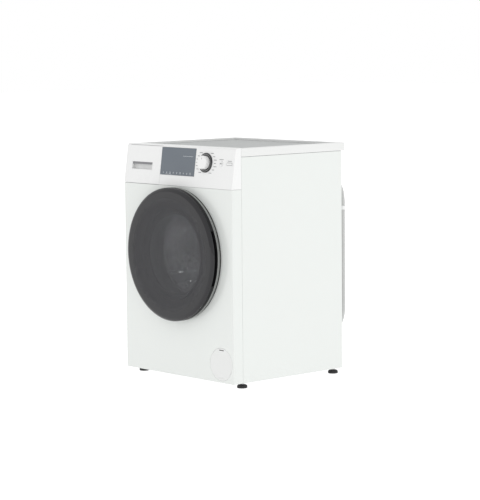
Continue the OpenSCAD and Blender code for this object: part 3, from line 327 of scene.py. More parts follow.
world.node_tree.nodes["Background"].inputs["Color"].default_value = (1.0, 1.0, 1.0, 1)
world.node_tree.nodes["Background"].inputs["Strength"].default_value = 1.0
bpy.context.scene.world = world


def softbox(name, place, target, width, height, watts):
    """A large soft light that shines at a target."""
    data = bpy.data.lights.new(name, "AREA")
    data.shape = "RECTANGLE"
    data.size, data.size_y = width, height
    data.energy = watts
    made = bpy.data.objects.new(name, data)
    bpy.context.scene.collection.objects.link(made)
    made.location = place
    made.rotation_euler = (Vector(target) - Vector(place)).to_track_quat("-Z", "Y").to_euler()
    made.visible_camera = False


softbox("side_light", (3.2, 0.8, 1.6), (0.3, 0, 0.45), 1.8, 1.8, 9.5)


# ---- Front panel: deep drawn sheet steel, enamelled white, with rolled upright corners and a porthole
# whose edge is turned inwards to carry the gasket ----
def finished(node, name, material, body, edge, smooth=40, steps=3):
    """The CAD piece with its edges broken and rolled, standing for the CAD node."""
    shell = bmesh.new()
    shell.from_mesh(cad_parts[node].data)
    bmesh.ops.remove_doubles(shell, verts=shell.verts, dist=0.00001)
    sharp = [e for e in shell.edges if e.is_manifold and e.calc_face_angle() > math.radians(38)]
    bmesh.ops.bevel(shell, geom=sharp, offset=edge, segments=steps, profile=0.5, affect="EDGES",
                    clamp_overlap=False)
    mesh = bpy.data.meshes.new(name)
    shell.to_mesh(mesh)
    shell.free()
    made = placed(name, mesh, material, body, smooth)
    even = made.modifiers.new("even_normals", "WEIGHTED_NORMAL")
    even.keep_sharp = True
    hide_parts(node)
    return made


def enamel(name, colour, roughness=0.24):
    """Baked enamel: orange peel in the gloss, and a faint unevenness where the sheet was drawn."""
    made, shader, start, place = blank(name, {"Coat Weight": 0.35, "Coat Roughness": 0.12})
    broad = noise(start, place, 5.0, 3.0)
    peel = noise(start, place, 330.0, 2.0)
    dust = noise(start, place, 2600.0, 1.0)
    feed(shader, Base_Color=colour_mix(broad * 0.8 + dust * 0.2, shade(colour, 0.985), shade(colour, 1.015)),
         Roughness=(broad - 0.5) * 0.10 + (peel - 0.5) * 0.05 + roughness,
         relief=(peel * 0.8 + broad * 6.0, 0.00002))
    return made


white_enamel = enamel("white_enamel", (0.705, 0.728, 0.708))
finished("front_panel", "front_panel_skin", white_enamel, "cabinet", 0.45 * MM)

# ---- Side panels: one enamelled sheet each, with flanges folded in at the front and rear edges and
# fixed by screws to the rear sheet ----
finished("right_side_panel", "right_side_skin", white_enamel, "cabinet", 0.6 * MM)
finished("left_side_panel", "left_side_skin", white_enamel, "cabinet", 0.6 * MM)


# ---- Rear sheet: galvanised steel with pressed stiffening beads, hex-headed screws, and plugs in the
# four holes of the transport bolts ----
def zinc(name, colour, roughness=0.34):
    """Galvanised sheet: crystals of differing brightness, and fine rolling lines across them."""
    made, shader, start, place = blank(name, {"Metallic": 0.85})
    crystal = start.node("TexVoronoi", {"feature": "F1"}, {"Vector": place, "Scale": 95.0}, output=1)
    bright = crystal.node("SeparateColor", None, {"Color": crystal})
    cloud = noise(start, place, 7.0, 4.0)
    line = noise(start, start.node("Mapping", None, {"Vector": place, "Scale": (40, 40, 1500)}), 1.0, 2.0)
    feed(shader, Base_Color=colour_mix(bright * 0.5 + cloud * 0.5, shade(colour, 0.82), shade(colour, 1.08)),
         Roughness=(bright - 0.5) * 0.16 + (line - 0.5) * 0.12 + roughness, relief=(line + cloud, 0.00002))
    return made


galvanised = zinc("galvanised", (0.60, 0.61, 0.62))
finished("rear_panel", "rear_sheet", galvanised, "cabinet", 0.3 * MM, steps=2)
finished("rear_access_cover", "rear_cover_pressing", galvanised, "cabinet", 0.2 * MM, steps=2)
rear_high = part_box("rear_panel")[1]
door_z = sum(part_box("door_trim_ring")[i].z for i in (0, 1)) / 2


def bead(name, start, end, width, height, body, material, lift):
    """A round-ended pressed bead along a line, standing out along lift."""
    start, end, lift = Vector(start), Vector(end), Vector(lift)
    along = (end - start).normalized()
    across = along.cross(lift).normalized()
    levels = [(1.0, 0.0), (0.93, 0.35), (0.75, 0.72), (0.45, 0.95), (0.0, 1.0)]
    around = 12
    verts, faces = [], []
    for share, rise in levels:
        for k in range(2 * around):
            first = k < around
            a = math.pi * (k % around) / (around - 1) + (math.pi / 2 if first else -math.pi / 2)
            centre = start if first else end
            verts.append(centre + (along * math.cos(a) + across * math.sin(a)) * width / 2 * max(share, 0.02)
                         + lift * height * rise)
    count = 2 * around
    for level in range(len(levels) - 1):
        for k in range(count):
            a, b = level * count + k, level * count + (k + 1) % count
            faces.append((a, b, b + count, a + count))
    faces.append(tuple((len(levels) - 1) * count + k for k in range(count)))
    faces.append(tuple(range(count))[::-1])
    return piece(name, verts, faces, material, body, 50)


bead_w, bead_h = 14 * MM, 2.2 * MM
bead_reach, side_bead_x = 0.150, 0.222
side_bead_foot, side_bead_top = 0.250, 0.640
rear_y = rear_high.y - 0.1 * MM
for number, z in enumerate((0.205, 0.165, 0.700)):
    bead(f"rear_bead_{number}", (-bead_reach, rear_y, z), (bead_reach, rear_y, z), bead_w, bead_h, "cabinet",
         galvanised, (0, 1, 0))
for side, name in ((-1, "left"), (1, "right")):
    bead(f"rear_bead_{name}", (side * side_bead_x, rear_y, side_bead_foot),
         (side * side_bead_x, rear_y, side_bead_top), bead_w, bead_h, "cabinet", galvanised, (0, 1, 0))
steel = zinc("stainless", (0.62, 0.62, 0.63), 0.28)


def screws(name, places, direction, head_r, head_h, body, material, hexagon=False):
    """Screw heads with a driver's recess, at a list of places, joined as one group."""
    verts, faces = [], []
    profile = [(0, head_h), (head_r * 0.30, head_h), (head_r * 0.34, head_h * 0.55), (head_r * 0.42, head_h),
               (head_r * 0.80, head_h * 0.86), (head_r, head_h * 0.35), (head_r, 0), (0, 0)]
    lobes = 6 if hexagon else 4

    def recessed(r, d, a):
        """The driver's recess, narrow between its lobes."""
        narrow = 0.55 + 0.45 * abs(math.cos(a * lobes / 2))
        return (r * narrow if r < head_r * 0.5 else r), d

    for place in places:
        made_verts, made_faces = turned(profile, place, direction, 24, recessed)
        base = len(verts)
        verts += made_verts
        faces += [tuple(base + i for i in face) for face in made_faces]
    return piece(name, verts, faces, material, body, 40)


rear_screw_x, rear_screw_zs = 0.2865, (0.06, 0.24, 0.40, 0.57, 0.68, 0.79)
side_screws = [(side * rear_screw_x, rear_high.y, z) for side in (-1, 1) for z in rear_screw_zs]
end_screws = [(x, rear_high.y, z) for x in (-0.10, 0.10) for z in (0.045, 0.805)]
rear_screw_r = 5 * MM
screws("rear_screws", side_screws + end_screws, (0, 1, 0), rear_screw_r, 2.6 * MM, "cabinet", steel, True)
ring_r, access_cover_t = 0.165, 1.0 * MM
cover_screws = [(ring_r * math.cos(a), rear_high.y + access_cover_t, door_z + ring_r * math.sin(a))
                for a in [math.radians(30 + 60 * i) for i in range(6)]]
screws("cover_screws", cover_screws, (0, 1, 0), rear_screw_r, 2.8 * MM, "cabinet", steel, True)
white_plastic = moulding("white_plastic", (0.775, 0.778, 0.775), 0.30, spread=0.012, patch=6, grain=900)
plug_r, plug_bore_r = 17 * MM, 7 * MM
plug_outline = eased([(0, 0), (plug_r, 0), (plug_r, 1.2 * MM), (plug_r - 4 * MM, 3.4 * MM),
                      (plug_bore_r + 1 * MM, 3.6 * MM), (plug_bore_r, 1.6 * MM), (0, 1.6 * MM)], 0.5 * MM)
for number, (x, z) in enumerate(((-0.150, 0.290), (0.150, 0.290), (-0.185, 0.640), (0.185, 0.640))):
    piece(f"transport_plug_{number}", *turned(plug_outline, (x, rear_y, z), (0, 1, 0), 48), white_plastic,
          "cabinet", 45)

# ---- Worktop: moulded white frame with a raised rim, round a recessed grey laminate board bedded on a
# dark sealing strip; the board's grey is partly its own colour and partly painted shade of the top ----
# A darker copy of the white plastic, as painted shade: it dims the worktop rim that the side light
# brightens. The filter flap takes the same darker white.
shaded_white_plastic = moulding("white_plastic", (0.715, 0.722, 0.713), 0.34, spread=0.012, patch=6, grain=900)
finished("worktop_frame", "worktop_rim", shaded_white_plastic, "cabinet", 2.2 * MM, steps=4)
# The board's grey is its own colour and also painted shade: it is set as dark as the shaded top.
board, board_shader, board_start, board_place = blank("grey_board", {"Specular IOR Level": 0.35})
speck = noise(board_start, board_place, 900.0, 2.0, 0.7)
drift = noise(board_start, board_place, 6.0, 4.0)
brushing = board_start.node("Mapping", None, {"Vector": board_place, "Scale": (14, 500, 1)})
brush = noise(board_start, brushing, 1.0, 3.0)
feed(board_shader, Base_Color=colour_mix(speck * 0.4 + drift * 0.3 + brush * 0.3, (0.33, 0.342, 0.34, 1),
                                         (0.43, 0.443, 0.44, 1)),
     Roughness=(drift - 0.5) * 0.2 + (speck - 0.5) * 0.1 + 0.46, relief=(speck + brush, 0.00003))
finished("worktop_board", "worktop_laminate", board, "cabinet", 0.8 * MM)
board_low, board_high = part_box("worktop_board")
grey_rubber = moulding("grey_rubber", (0.26, 0.27, 0.275), 0.50, spread=0.14, patch=22, depth=0.00004)
seal_w, seal_rise = 1.0 * MM, 0.3 * MM
seal_path = [(board_low.x, board_low.y), (board_high.x, board_low.y), (board_high.x, board_high.y),
             (board_low.x, board_high.y)]
seal_verts, seal_faces = [], []
seal_profile = [(0, -seal_rise), (0, seal_rise * 0.6), (-seal_w * 0.5, seal_rise),
                (-seal_w, seal_rise * 0.5), (-seal_w, -seal_rise)]
for x, y in seal_path:
    side_x, side_y = math.copysign(1, x), math.copysign(1, y)
    for reach, rise in seal_profile:
        seal_verts.append((x + side_x * reach, y + side_y * reach, board_high.z + rise))
for i in range(4):
    for k in range(5):
        a, b = i * 5 + k, i * 5 + (k + 1) % 5
        c, d = (i + 1) % 4 * 5 + (k + 1) % 5, (i + 1) % 4 * 5 + k
        seal_faces.append((a, b, c, d))
piece("worktop_seal", seal_verts, seal_faces, grey_rubber, "cabinet")

# ---- Control fascia: one white moulding leaning back over the door, with recesses for the drawer, the
# display and the controls, and short printed marks round the knob ----
finished("control_fascia", "fascia_moulding", white_plastic, "cabinet", 0.5 * MM)
rake = math.radians(8)
face_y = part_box("front_panel")[0].y
fascia_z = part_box("control_fascia")[0].z
out = Vector((0, -math.cos(rake), math.sin(rake)))
up = Vector((0, math.sin(rake), math.cos(rake)))


def on_fascia(x, s, proud=0.0):
    """A point of the raked face: x across, s up its slope, proud in front of it."""
    return Vector((x, face_y, fascia_z)) + up * s + out * proud


BLOCK_FACES = [(0, 1, 2, 3), (7, 6, 5, 4), (0, 4, 5, 1), (1, 5, 6, 2), (2, 6, 7, 3), (3, 7, 4, 0)]


def printed(name, marks, material, body, proud, thick=0.12 * MM):
    """Thin raised strips on the raked face, each from one (x, s) to another with a width."""
    verts, faces = [], []
    for x0, s0, x1, s1, width in marks:
        along = Vector((x1 - x0, s1 - s0))
        along = along.normalized() if along.length > 1e-9 else Vector((1, 0))
        across = Vector((-along.y, along.x)) * width / 2
        base = len(verts)
        for lift in (-0.3 * MM, thick):
            for x, s in ((x0 + across.x, s0 + across.y), (x0 - across.x, s0 - across.y),
                         (x1 - across.x, s1 - across.y), (x1 + across.x, s1 + across.y)):
                verts.append(on_fascia(x, s, proud + lift))
        faces += [tuple(base + i for i in quad) for quad in BLOCK_FACES]
    return piece(name, verts, faces, material, body)


black_gloss = moulding("black_gloss", (0.022, 0.022, 0.024), 0.16, spread=0.2, patch=20, depth=0.000006)
knob_low, knob_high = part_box("knob_bezel")
knob_x = (knob_low.x + knob_high.x) / 2
knob_s = 89.5 * MM
bezel_r = (knob_high.x - knob_low.x) / 2
label_foot, label_pitch, label_w, label_gap = 54 * MM, 11.7 * MM, 1.9 * MM, 6 * MM
labels_from = 96 * MM
label_lengths = [length * MM for length in (15, 12, 16, 10, 14, 11, 16)]
marks = []
for i, length in enumerate(label_lengths):
    s = label_foot + i * label_pitch
    bulge = math.sqrt(max(0.0, (bezel_r + 3 * MM) ** 2 - (s - knob_s) ** 2))
    left, right = knob_x - bulge - label_gap, knob_x + bulge + label_gap
    marks.append((max(left - length, labels_from), s, left, s, label_w))
    marks.append((right, s, right + length, s, label_w))
power_label_x, start_label_x = 264 * MM, 219 * MM
marks.append((power_label_x, 100 * MM, power_label_x + 20 * MM, 100 * MM, 1.8 * MM))
marks.append((start_label_x, 104 * MM, start_label_x + 22 * MM, 104 * MM, 1.6 * MM))
grey_print = moulding("grey_plastic", (0.20, 0.205, 0.21), 0.5, spread=0.1)
printed("fascia_marks", marks, grey_print, "cabinet", 0.02 * MM)

# ---- Display: a slate window set just proud of the fascia, with a row of small lit signs along its
# lower edge and one line of segments at its upper right ----
slate, slate_shader, slate_start, slate_place = blank(
    "display_panel", {"Coat Weight": 0.6, "Coat Roughness": 0.05})
veil = noise(slate_start, slate_place, 8.0, 3.0)
mesh_dots = noise(slate_start, slate_place, 2200.0, 1.0)
slate_tone = colour_mix(veil * 0.7 + mesh_dots * 0.3, (0.085, 0.104, 0.128, 1), (0.112, 0.134, 0.16, 1))
feed(slate_shader, Base_Color=slate_tone,
     Roughness=(veil - 0.5) * 0.08 + 0.2, relief=(mesh_dots, 0.000004))
finished("control_display", "display_window", slate, "cabinet", 0.35 * MM)
display_low, display_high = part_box("control_display")
window_x, window_w = display_low.x, display_high.x - display_low.x
sign_light = moulding("white_plastic", (0.55, 0.58, 0.60), 0.4, spread=0.05, patch=60)
signs = []
sign_s, half, stroke = 46 * MM, 3 * MM, 0.8 * MM
sign_start, sign_pitch, bar_gap = 18 * MM, 18.5 * MM, 2.2 * MM
for i in range(9):
    x = window_x + sign_start + sign_pitch * i
    kind = i % 3
    if kind == 0:
        signs += [(x - half, sign_s, x + half, sign_s, 0.9 * MM),
                  (x, sign_s - half, x, sign_s + half, 0.9 * MM)]
    elif kind == 1:
        for s in (sign_s - bar_gap, sign_s, sign_s + bar_gap):
            signs.append((x - half, s, x + half, s, stroke))
    else:
        corners = [(x - half, sign_s - half), (x + half, sign_s - half), (x + half, sign_s + half),
                   (x - half, sign_s + half)]
        signs += [(*corners[k], *corners[(k + 1) % 4], stroke) for k in range(4)]
bar_x, bar_s = window_x + 0.64 * window_w, 108 * MM
bar_l, bar_pitch = 4.6 * MM, 6.2 * MM
signs += [(bar_x + i * bar_pitch, bar_s, bar_x + i * bar_pitch + bar_l, bar_s, 1.3 * MM) for i in range(9)]
underline_s = 40.5 * MM
signs += [(window_x + 30 * MM, underline_s, window_x + 66 * MM, underline_s, stroke)]
printed("display_signs", signs, sign_light, "cabinet", 0.6 * MM, 0.08 * MM)

# ---- Program knob: a white cap with a finely fluted skirt and a pointer line, turning in a polished
# black ring with a bright inlaid line ----
knob_at = on_fascia(knob_x, knob_s)
bezel_bore_r, bezel_seat_r, seat_d, bezel_d = 6 * MM, 24.7 * MM, 1.9 * MM, 3.9 * MM
line_r, line_w, line_depth = 29.0 * MM, 1.4 * MM, 0.6 * MM
bezel_outline = [(bezel_bore_r, -2 * MM), (bezel_bore_r, seat_d), (bezel_seat_r, seat_d),
                 (bezel_seat_r, bezel_d), (line_r - 0.2 * MM, bezel_d),
                 (line_r + 0.1 * MM, bezel_d - line_depth),
                 (line_r + line_w - 0.1 * MM, bezel_d - line_depth), (line_r + line_w + 0.2 * MM, bezel_d),
                 (bezel_r - 1.6 * MM, bezel_d), (bezel_r, bezel_d - 1.5 * MM), (bezel_r, -0.5 * MM)]
bezel = piece("knob_ring", *turned(eased(bezel_outline, 0.5 * MM, 3), knob_at, out, 96), black_gloss,
              "cabinet")
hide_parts("knob_bezel")
chrome, chrome_shader, chrome_start, chrome_place = blank("chrome_trim", {"Metallic": 1.0})
wipe = noise(chrome_start, chrome_place, 60.0, 4.0)
feed(chrome_shader, Base_Color=colour_mix(wipe, (0.30, 0.305, 0.30, 1), (0.38, 0.385, 0.38, 1)),
     Roughness=wipe * 0.10 + 0.10, relief=(wipe, 0.00001))
line_foot, line_top = 3.1 * MM, 3.85 * MM
line_outline = [(line_r, line_foot), (line_r, line_top), (line_r + line_w, line_top),
                (line_r + line_w, line_foot)]
piece("knob_bright_line", *turned(eased(line_outline, 0.2 * MM, 2), knob_at, out, 96), chrome, "cabinet")
knob_r, knob_h = 24 * MM, 22 * MM
knob_flutes, knob_flute_deep, plain_l = 48, 0.55 * MM, 3.5 * MM


def fluted(r, d, a):
    """The skirt's radius drawn in between its flutes."""
    skirt = r > knob_r - 1.2 * MM and plain_l < d < knob_h - plain_l
    return (r - knob_flute_deep * (0.5 + 0.5 * math.cos(knob_flutes * a)) if skirt else r), d


knob_bore_r, knob_foot, cap_t = 3 * MM, 2.8 * MM, 4 * MM
knob_outline = [(0, knob_h - cap_t), (knob_bore_r, knob_h - cap_t), (knob_bore_r, knob_foot),
                (knob_r - 2.2 * MM, knob_foot), (knob_r, knob_foot), (knob_r, 4 * MM), (knob_r, 4.4 * MM),
                (knob_r, knob_h - 4.4 * MM), (knob_r, knob_h - 4 * MM),
                (knob_r - 2.2 * MM, knob_h - 0.3 * MM), (knob_r - 6 * MM, knob_h - 0.1 * MM),
                (0, knob_h - 0.6 * MM)]
knob = piece("program_knob_cap", *turned(eased(knob_outline, 0.9 * MM, 4), knob_at, out, 192, fluted),
             white_plastic, "knob", 30)
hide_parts("program_knob")
pointer = (knob_x, knob_s + 10 * MM, knob_x, knob_s + 19.5 * MM, 1.6 * MM)
printed("knob_pointer", [pointer], grey_print, "knob", knob_h - 0.25 * MM, 0.1 * MM)

# ---- Start and power keys: white caps in the fascia, each with a plain printed sign that goes in and
# out with it ----
start_low, start_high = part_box("start_button")
start_x = (start_low.x + start_high.x) / 2
finished("start_button", "start_key_cap", white_plastic, "start_key", 0.35 * MM)
sign_proud, wedge_strips, strip_pitch, wedge_half, bar_half = 1.55 * MM, 6, 0.95 * MM, 3.6 * MM, 3.4 * MM
wedge = []
for i in range(wedge_strips):
    x, half = start_x - 4.4 * MM + i * strip_pitch, wedge_half * (1 - i / wedge_strips)
    wedge.append((x, knob_s - half, x, knob_s + half, 1.0 * MM))
bars = [(x, knob_s - bar_half, x, knob_s + bar_half, 1.3 * MM)
        for x in (start_x + 2.6 * MM, start_x + 5.2 * MM)]
printed("start_sign", wedge + bars, grey_print, "start_key", sign_proud)
power_low, power_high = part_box("power_button")
power_x = (power_low.x + power_high.x) / 2
finished("power_button", "power_key_cap", white_plastic, "power_key", 0.35 * MM)
half_w, half_h, outline_w = 13 * MM, 3.9 * MM, 0.7 * MM
longs = [(power_x - half_w, s, power_x + half_w, s, outline_w) for s in (knob_s - half_h, knob_s + half_h)]
shorts = [(x, knob_s - half_h, x, knob_s + half_h, outline_w) for x in (power_x - half_w, power_x + half_w)]
printed("power_sign", longs + shorts, grey_print, "power_key", sign_proud)

# ---- Detergent drawer: a white front flush with the fascia, with a deep grip pocket, on a moulded tray
# that slides in a grey housing ----
finished("drawer_front", "drawer_face", white_plastic, "drawer", 0.8 * MM)
finished("drawer_tray", "drawer_tray_moulding", white_plastic, "drawer", 0.5 * MM, steps=2)
# A dark grey strip under the top of the grip pocket: painted shadow where the pocket's top edge overhangs.
grip_shadow_grey = moulding("grey_plastic", (0.20, 0.20, 0.21), 0.5, spread=0.1, patch=14)
pocket_x0, pocket_x1, pocket_top = -258.8 * MM, -147.2 * MM, 78.7 * MM
grip_shadow_h, grip_shadow_proud, grip_shadow_t = 7.6 * MM, -3.0 * MM, 1.2 * MM
grip_shadow_s = pocket_top - grip_shadow_h / 2
printed("grip_painted_shadow", [(pocket_x0, grip_shadow_s, pocket_x1, grip_shadow_s, grip_shadow_h)], grip_shadow_grey, "drawer",
        grip_shadow_proud, grip_shadow_t)

# ---- Door: a smoked dish bonded to a dark rim, a bright ring under it, a rear ring that carries the
# hinge and the latch, and a pressed glass bowl ----
door_low, door_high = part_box("door_trim_ring")
door_r = (door_high.x - door_low.x) / 2
door_axis = (0, face_y, door_z)


def wall(path, thick):
    """Outline of a wall of even thickness along a middle line."""
    sides = ([], [])
    for i, point in enumerate(path):
        along = (Vector(path[min(i + 1, len(path) - 1)]) - Vector(path[max(i - 1, 0)])).normalized()
        across = Vector((-along.y, along.x)) * thick / 2
        sides[0].append(tuple(Vector(point) + across))
        sides[1].append(tuple(Vector(point) - across))
    return sides[0] + sides[1][::-1]


def in_mm(path):
    """Points written in millimetres, in the scene's units."""
    return [(r * MM, d * MM) for r, d in path]


smoked, smoked_shader, smoked_start, smoked_place = blank("tinted_window", {"IOR": 1.5})
haze = noise(smoked_start, smoked_place, 4.0, 3.0)
wipes = noise(smoked_start, smoked_place, 70.0, 3.0)
flat = smoked_start.node("SeparateXYZ", None, {"Vector": smoked_place})
across = Wire(flat.tree, flat.socket.node.outputs[0])
height = Wire(flat.tree, flat.socket.node.outputs[2]) - door_z
square = across * across + height * height
radius = square.math("SQRT", square)
clear_r, dark_r = 0.186, 0.206
border = radius.node("MapRange", {"clamp": True}, {"Value": radius, "From Min": clear_r, "From Max": dark_r})
smoke = colour_mix(border * 0.94 + haze * 0.06, (0.036, 0.036, 0.041, 1), (0.005, 0.005, 0.007, 1))
feed(smoked_shader, Base_Color=smoke,
     Alpha=border * 0.45 + 0.55, Roughness=wipes * 0.05 + 0.02, relief=(haze, 0.00004))
cover_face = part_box("door_cover")[0].y - face_y
cover_t = 3.5 * MM
middle = cover_face + cover_t / 2
dish_edge = ((34, 0), (13, 0.4), (8, 1.9), (4, 4.2), (1.75, 6.5), (1.75, 9.15))
dish = [(0, middle)] + [(door_r - r * MM, middle + d * MM) for r, d in dish_edge]
cover = piece("door_cover_dish", *turned(eased(wall(dish, cover_t), 1.2 * MM, 4), door_axis, (0, 1, 0), 256),
              smoked, "door", 30)
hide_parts("door_cover")
dark_plastic = moulding("dark_plastic", (0.020, 0.020, 0.021), 0.32, spread=0.25, patch=16, depth=0.00001)
rim_black = moulding("dark_plastic", (0.012, 0.012, 0.013), 0.5, spread=0.2, patch=16,
                     **{"Specular IOR Level": 0.2})
finished("door_outer_ring", "door_rim", rim_black, "door", 0.6 * MM)
trim_front, trim_back = door_low.y - face_y, door_high.y - face_y
trim_r = door_r - 8.5 * MM
trim_outline = [(trim_r, trim_front), (trim_r, trim_back), (door_r, trim_back), (door_r, trim_front)]
trim = piece("door_bright_ring", *turned(eased(trim_outline, 1.6 * MM, 6), door_axis, (0, 1, 0), 256),
             chrome, "door", 40)
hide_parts("door_trim_ring")
finished("door_frame", "door_rear_ring", rim_black, "door", 0.5 * MM)
door_ring_r, door_screw_y = 0.200, face_y - 1.2 * MM
door_screws = [(door_ring_r * math.cos(a), door_screw_y, door_z + door_ring_r * math.sin(a))
               for a in [math.radians(22.5 + 45 * i) for i in range(8)]]
screws("door_screws", door_screws, (0, 1, 0), 4 * MM, 1.1 * MM, "door", steel)
glass, glass_shader, glass_start, glass_place = blank(
    "clear_glass", {"Transmission Weight": 1.0, "IOR": 1.5, "Base Color": (0.93, 0.96, 0.95, 1)})
flow = noise(glass_start, glass_place, 18.0, 2.0)
feed(glass_shader, Roughness=flow * 0.03 + 0.01, relief=(flow, 0.0002))
bowl_r, bowl_end_r, bowl_d, glass_t, knee = 150.0, 112.0, 120.0, 5.0, 16.0
seat = trim_back / MM - glass_t / 2 - 0.1
wall_r, end_r, end = bowl_r - glass_t / 2, bowl_end_r - glass_t / 2, bowl_d - glass_t / 2
bowl_path = in_mm([(0, end), (end_r - 1.6 * knee, end), (end_r - knee / 2, end - 2),
                   (end_r, end - knee / 2), (end_r + 6, end - knee - 6), (wall_r - 2, seat + 16),
                   (wall_r, seat + 4), (wall_r + 3, seat), (bowl_r + 11.5, seat)])
bowl_outline = eased(wall(bowl_path, glass_t * MM), 4 * MM, 6)
bowl = piece("glass_bowl", *turned(bowl_outline, door_axis, (0, 1, 0), 192), glass, "door", 50)
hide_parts("door_glass")
finished("door_hinge_bracket", "hinge_bracket", white_enamel, "cabinet", 0.4 * MM)
finished("latch_hook", "latch_hook_plate", steel, "latch", 0.3 * MM)

# ---- Gasket: a grey rubber bellows clamped round the porthole and the tub's mouth
folds = in_mm([(163, 3), (163, 12), (157, 20), (153, 28), (157, 36), (168, 38), (178, 34), (182, 38),
               (179, 44), (174, 48), (168.2, 52), (168.2, 72)])
gasket_t, fold_from, fold_to = 2.9 * MM, face_y + 36 * MM, face_y + 56 * MM
gasket_outline = eased(wall(folds, gasket_t), 2.6 * MM, 4)
gasket = piece("door_gasket_bellows", *turned(gasket_outline, door_axis, (0, 1, 0), 192), grey_rubber,
               "cabinet", 50)
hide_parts("door_gasket")
gasket.parent = None
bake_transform(gasket)

# ---- Drum: brushed stainless sheet rolled into a fluted, pierced shell, with a pressed back and moulded
# lifters; a small soft light inside it brings out its wall behind the smoked door ----
drum_low, drum_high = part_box("drum_shell")
drum_r = (drum_high.x - drum_low.x) / 2
drum_front, drum_back = drum_low.y, drum_high.y
brushed, brushed_shader, brushed_start, brushed_place = blank("stainless", {"Metallic": 1.0})
from_axis = brushed_start.node("Mapping", None, {"Vector": brushed_place, "Location": (0, 0, -door_z)})
split = brushed_start.node("SeparateXYZ", None, {"Vector": from_axis})
px, py, pz = (Wire(split.tree, split.socket.node.outputs[i]) for i in range(3))
hoops = brushed_start.node("CombineXYZ", None, {"X": (px * px + pz * pz) * 30.0, "Y": py * 900.0})
lines = noise(brushed_start, hoops, 1.0, 3.0)
patches = noise(brushed_start, brushed_place, 9.0, 4.0)
drum_tone = colour_mix(lines * 0.4 + patches * 0.6, (0.52, 0.52, 0.53, 1), (0.72, 0.72, 0.73, 1))
feed(brushed_shader, Base_Color=drum_tone,
     Roughness=(lines - 0.5) * 0.12 + (patches - 0.5) * 0.12 + 0.27, relief=(lines, 0.00001))
flute_count, flute_deep, flute_fade = 96, 1.6 * MM, 12 * MM
rim_l, hole_rows, hole_r = 16 * MM, 15, 1.9 * MM
wall_front, wall_back = drum_front + rim_l, drum_back - rim_l
flute_top_r = drum_r - 0.9 * MM


def drum_point(a, y):
    """A point of the fluted shell at angle a and depth y."""
    fade = max(0.0, min(1.0, (y - wall_front) / flute_fade, (wall_back - y) / flute_fade))
    r = flute_top_r - flute_deep * (0.5 - 0.5 * math.cos(flute_count * a)) * fade
    return (r * math.cos(a), y, door_z + r * math.sin(a))


shell_verts, shell_faces = [], []
row_l = (wall_back - wall_front) / hole_rows
for c in range(flute_count):
    for row in range(hole_rows):
        a0 = 2 * math.pi * (c - 0.5) / flute_count
        a1 = 2 * math.pi * (c + 0.5) / flute_count
        y0, y1 = wall_front + row * row_l, wall_front + (row + 1) * row_l
        am, ym = (a0 + a1) / 2, (y0 + y1) / 2
        border_points = [(a0, y0), (am, y0), (a1, y0), (a1, ym), (a1, y1), (am, y1), (a0, y1), (a0, ym)]
        pierced = (c + row) % 2 == 0
        base = len(shell_verts)
        shell_verts += [drum_point(a, y) for a, y in border_points]
        if pierced:
            for a, y in border_points:
                d = Vector(((a - am) * drum_r, y - ym))
                d = d.normalized() * hole_r
                shell_verts.append(drum_point(am + d.x / drum_r, ym + d.y))
            for k in range(8):
                n = (k + 1) % 8
                shell_faces.append((base + k, base + n, base + 8 + n, base + 8 + k))
        else:
            shell_verts.append(drum_point(am, ym))
            for k in range(8):
                shell_faces.append((base + k, base + (k + 1) % 8, base + 8))
drum_wall = piece("drum_pierced_wall", shell_verts, shell_faces, brushed, "drum", 60)
thickness = drum_wall.modifiers.new("sheet", "SOLIDIFY")
thickness.thickness = 0.7 * MM
thickness.offset = 0
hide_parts("drum_shell")
sheet_t = 0.9 * MM
mouth = in_mm([(166, 10), (166, 4), (169, 0.75), (200, 0.75), (223, 0.75), (233, 3.5), (237, 9),
               (237.1, 16.4)])
mouth_outline, mouth_at = eased(wall(mouth, sheet_t), 3 * MM, 4), (0, drum_front, door_z)
piece("drum_front_ring", *turned(mouth_outline, mouth_at, (0, 1, 0), 192), brushed, "drum", 50)
back_path = in_mm([(0, -7), (40, -7), (52, -5.5), (60, -1.2), (110, -1.2), (118, -4.5), (150, -4.5),
                   (158, -1.2), (223, -1.2), (233, -4), (237, -9), (237.1, -16.4)])
ray_count, ray_r, ray_reach, ray_deep = 12, 0.190, 0.028, 3 * MM


def starred(r, d, a):
    """Pressed rays round the drum's back, outside its circles."""
    ray = max(0.0, math.cos(ray_count * a)) ** 2 * max(0.0, 1 - abs(r - ray_r) / ray_reach)
    return r, d - ray_deep * ray


back_outline, back_at = eased(wall(back_path, sheet_t), 4 * MM, 4), (0, drum_back, door_z)
piece("drum_pressed_back", *turned(back_outline, back_at, (0, 1, 0), 192, starred), brushed, "drum", 50)
softbox("drum_light", (-0.02, drum_front + 0.08, door_z + 0.13), (0.20, drum_front + 0.20, door_z - 0.02),
        0.10, 0.10, 0.8)
lifter_plastic = moulding("white_plastic", (0.62, 0.64, 0.66), 0.38, spread=0.04, patch=12)
finished("drum_lifters", "drum_lifter_mouldings", lifter_plastic, "drum", 2.0 * MM, steps=4)

# ---- Filter door and filter: a round white flap in the front panel with a finger notch at its top, over
# the filter's bar handle ----
# The filter flap in the darker copy of the white plastic, which is painted shade.
finished("filter_door", "filter_flap_disc", shaded_white_plastic, "filter_flap", 0.45 * MM)
flap_low, flap_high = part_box("filter_door")
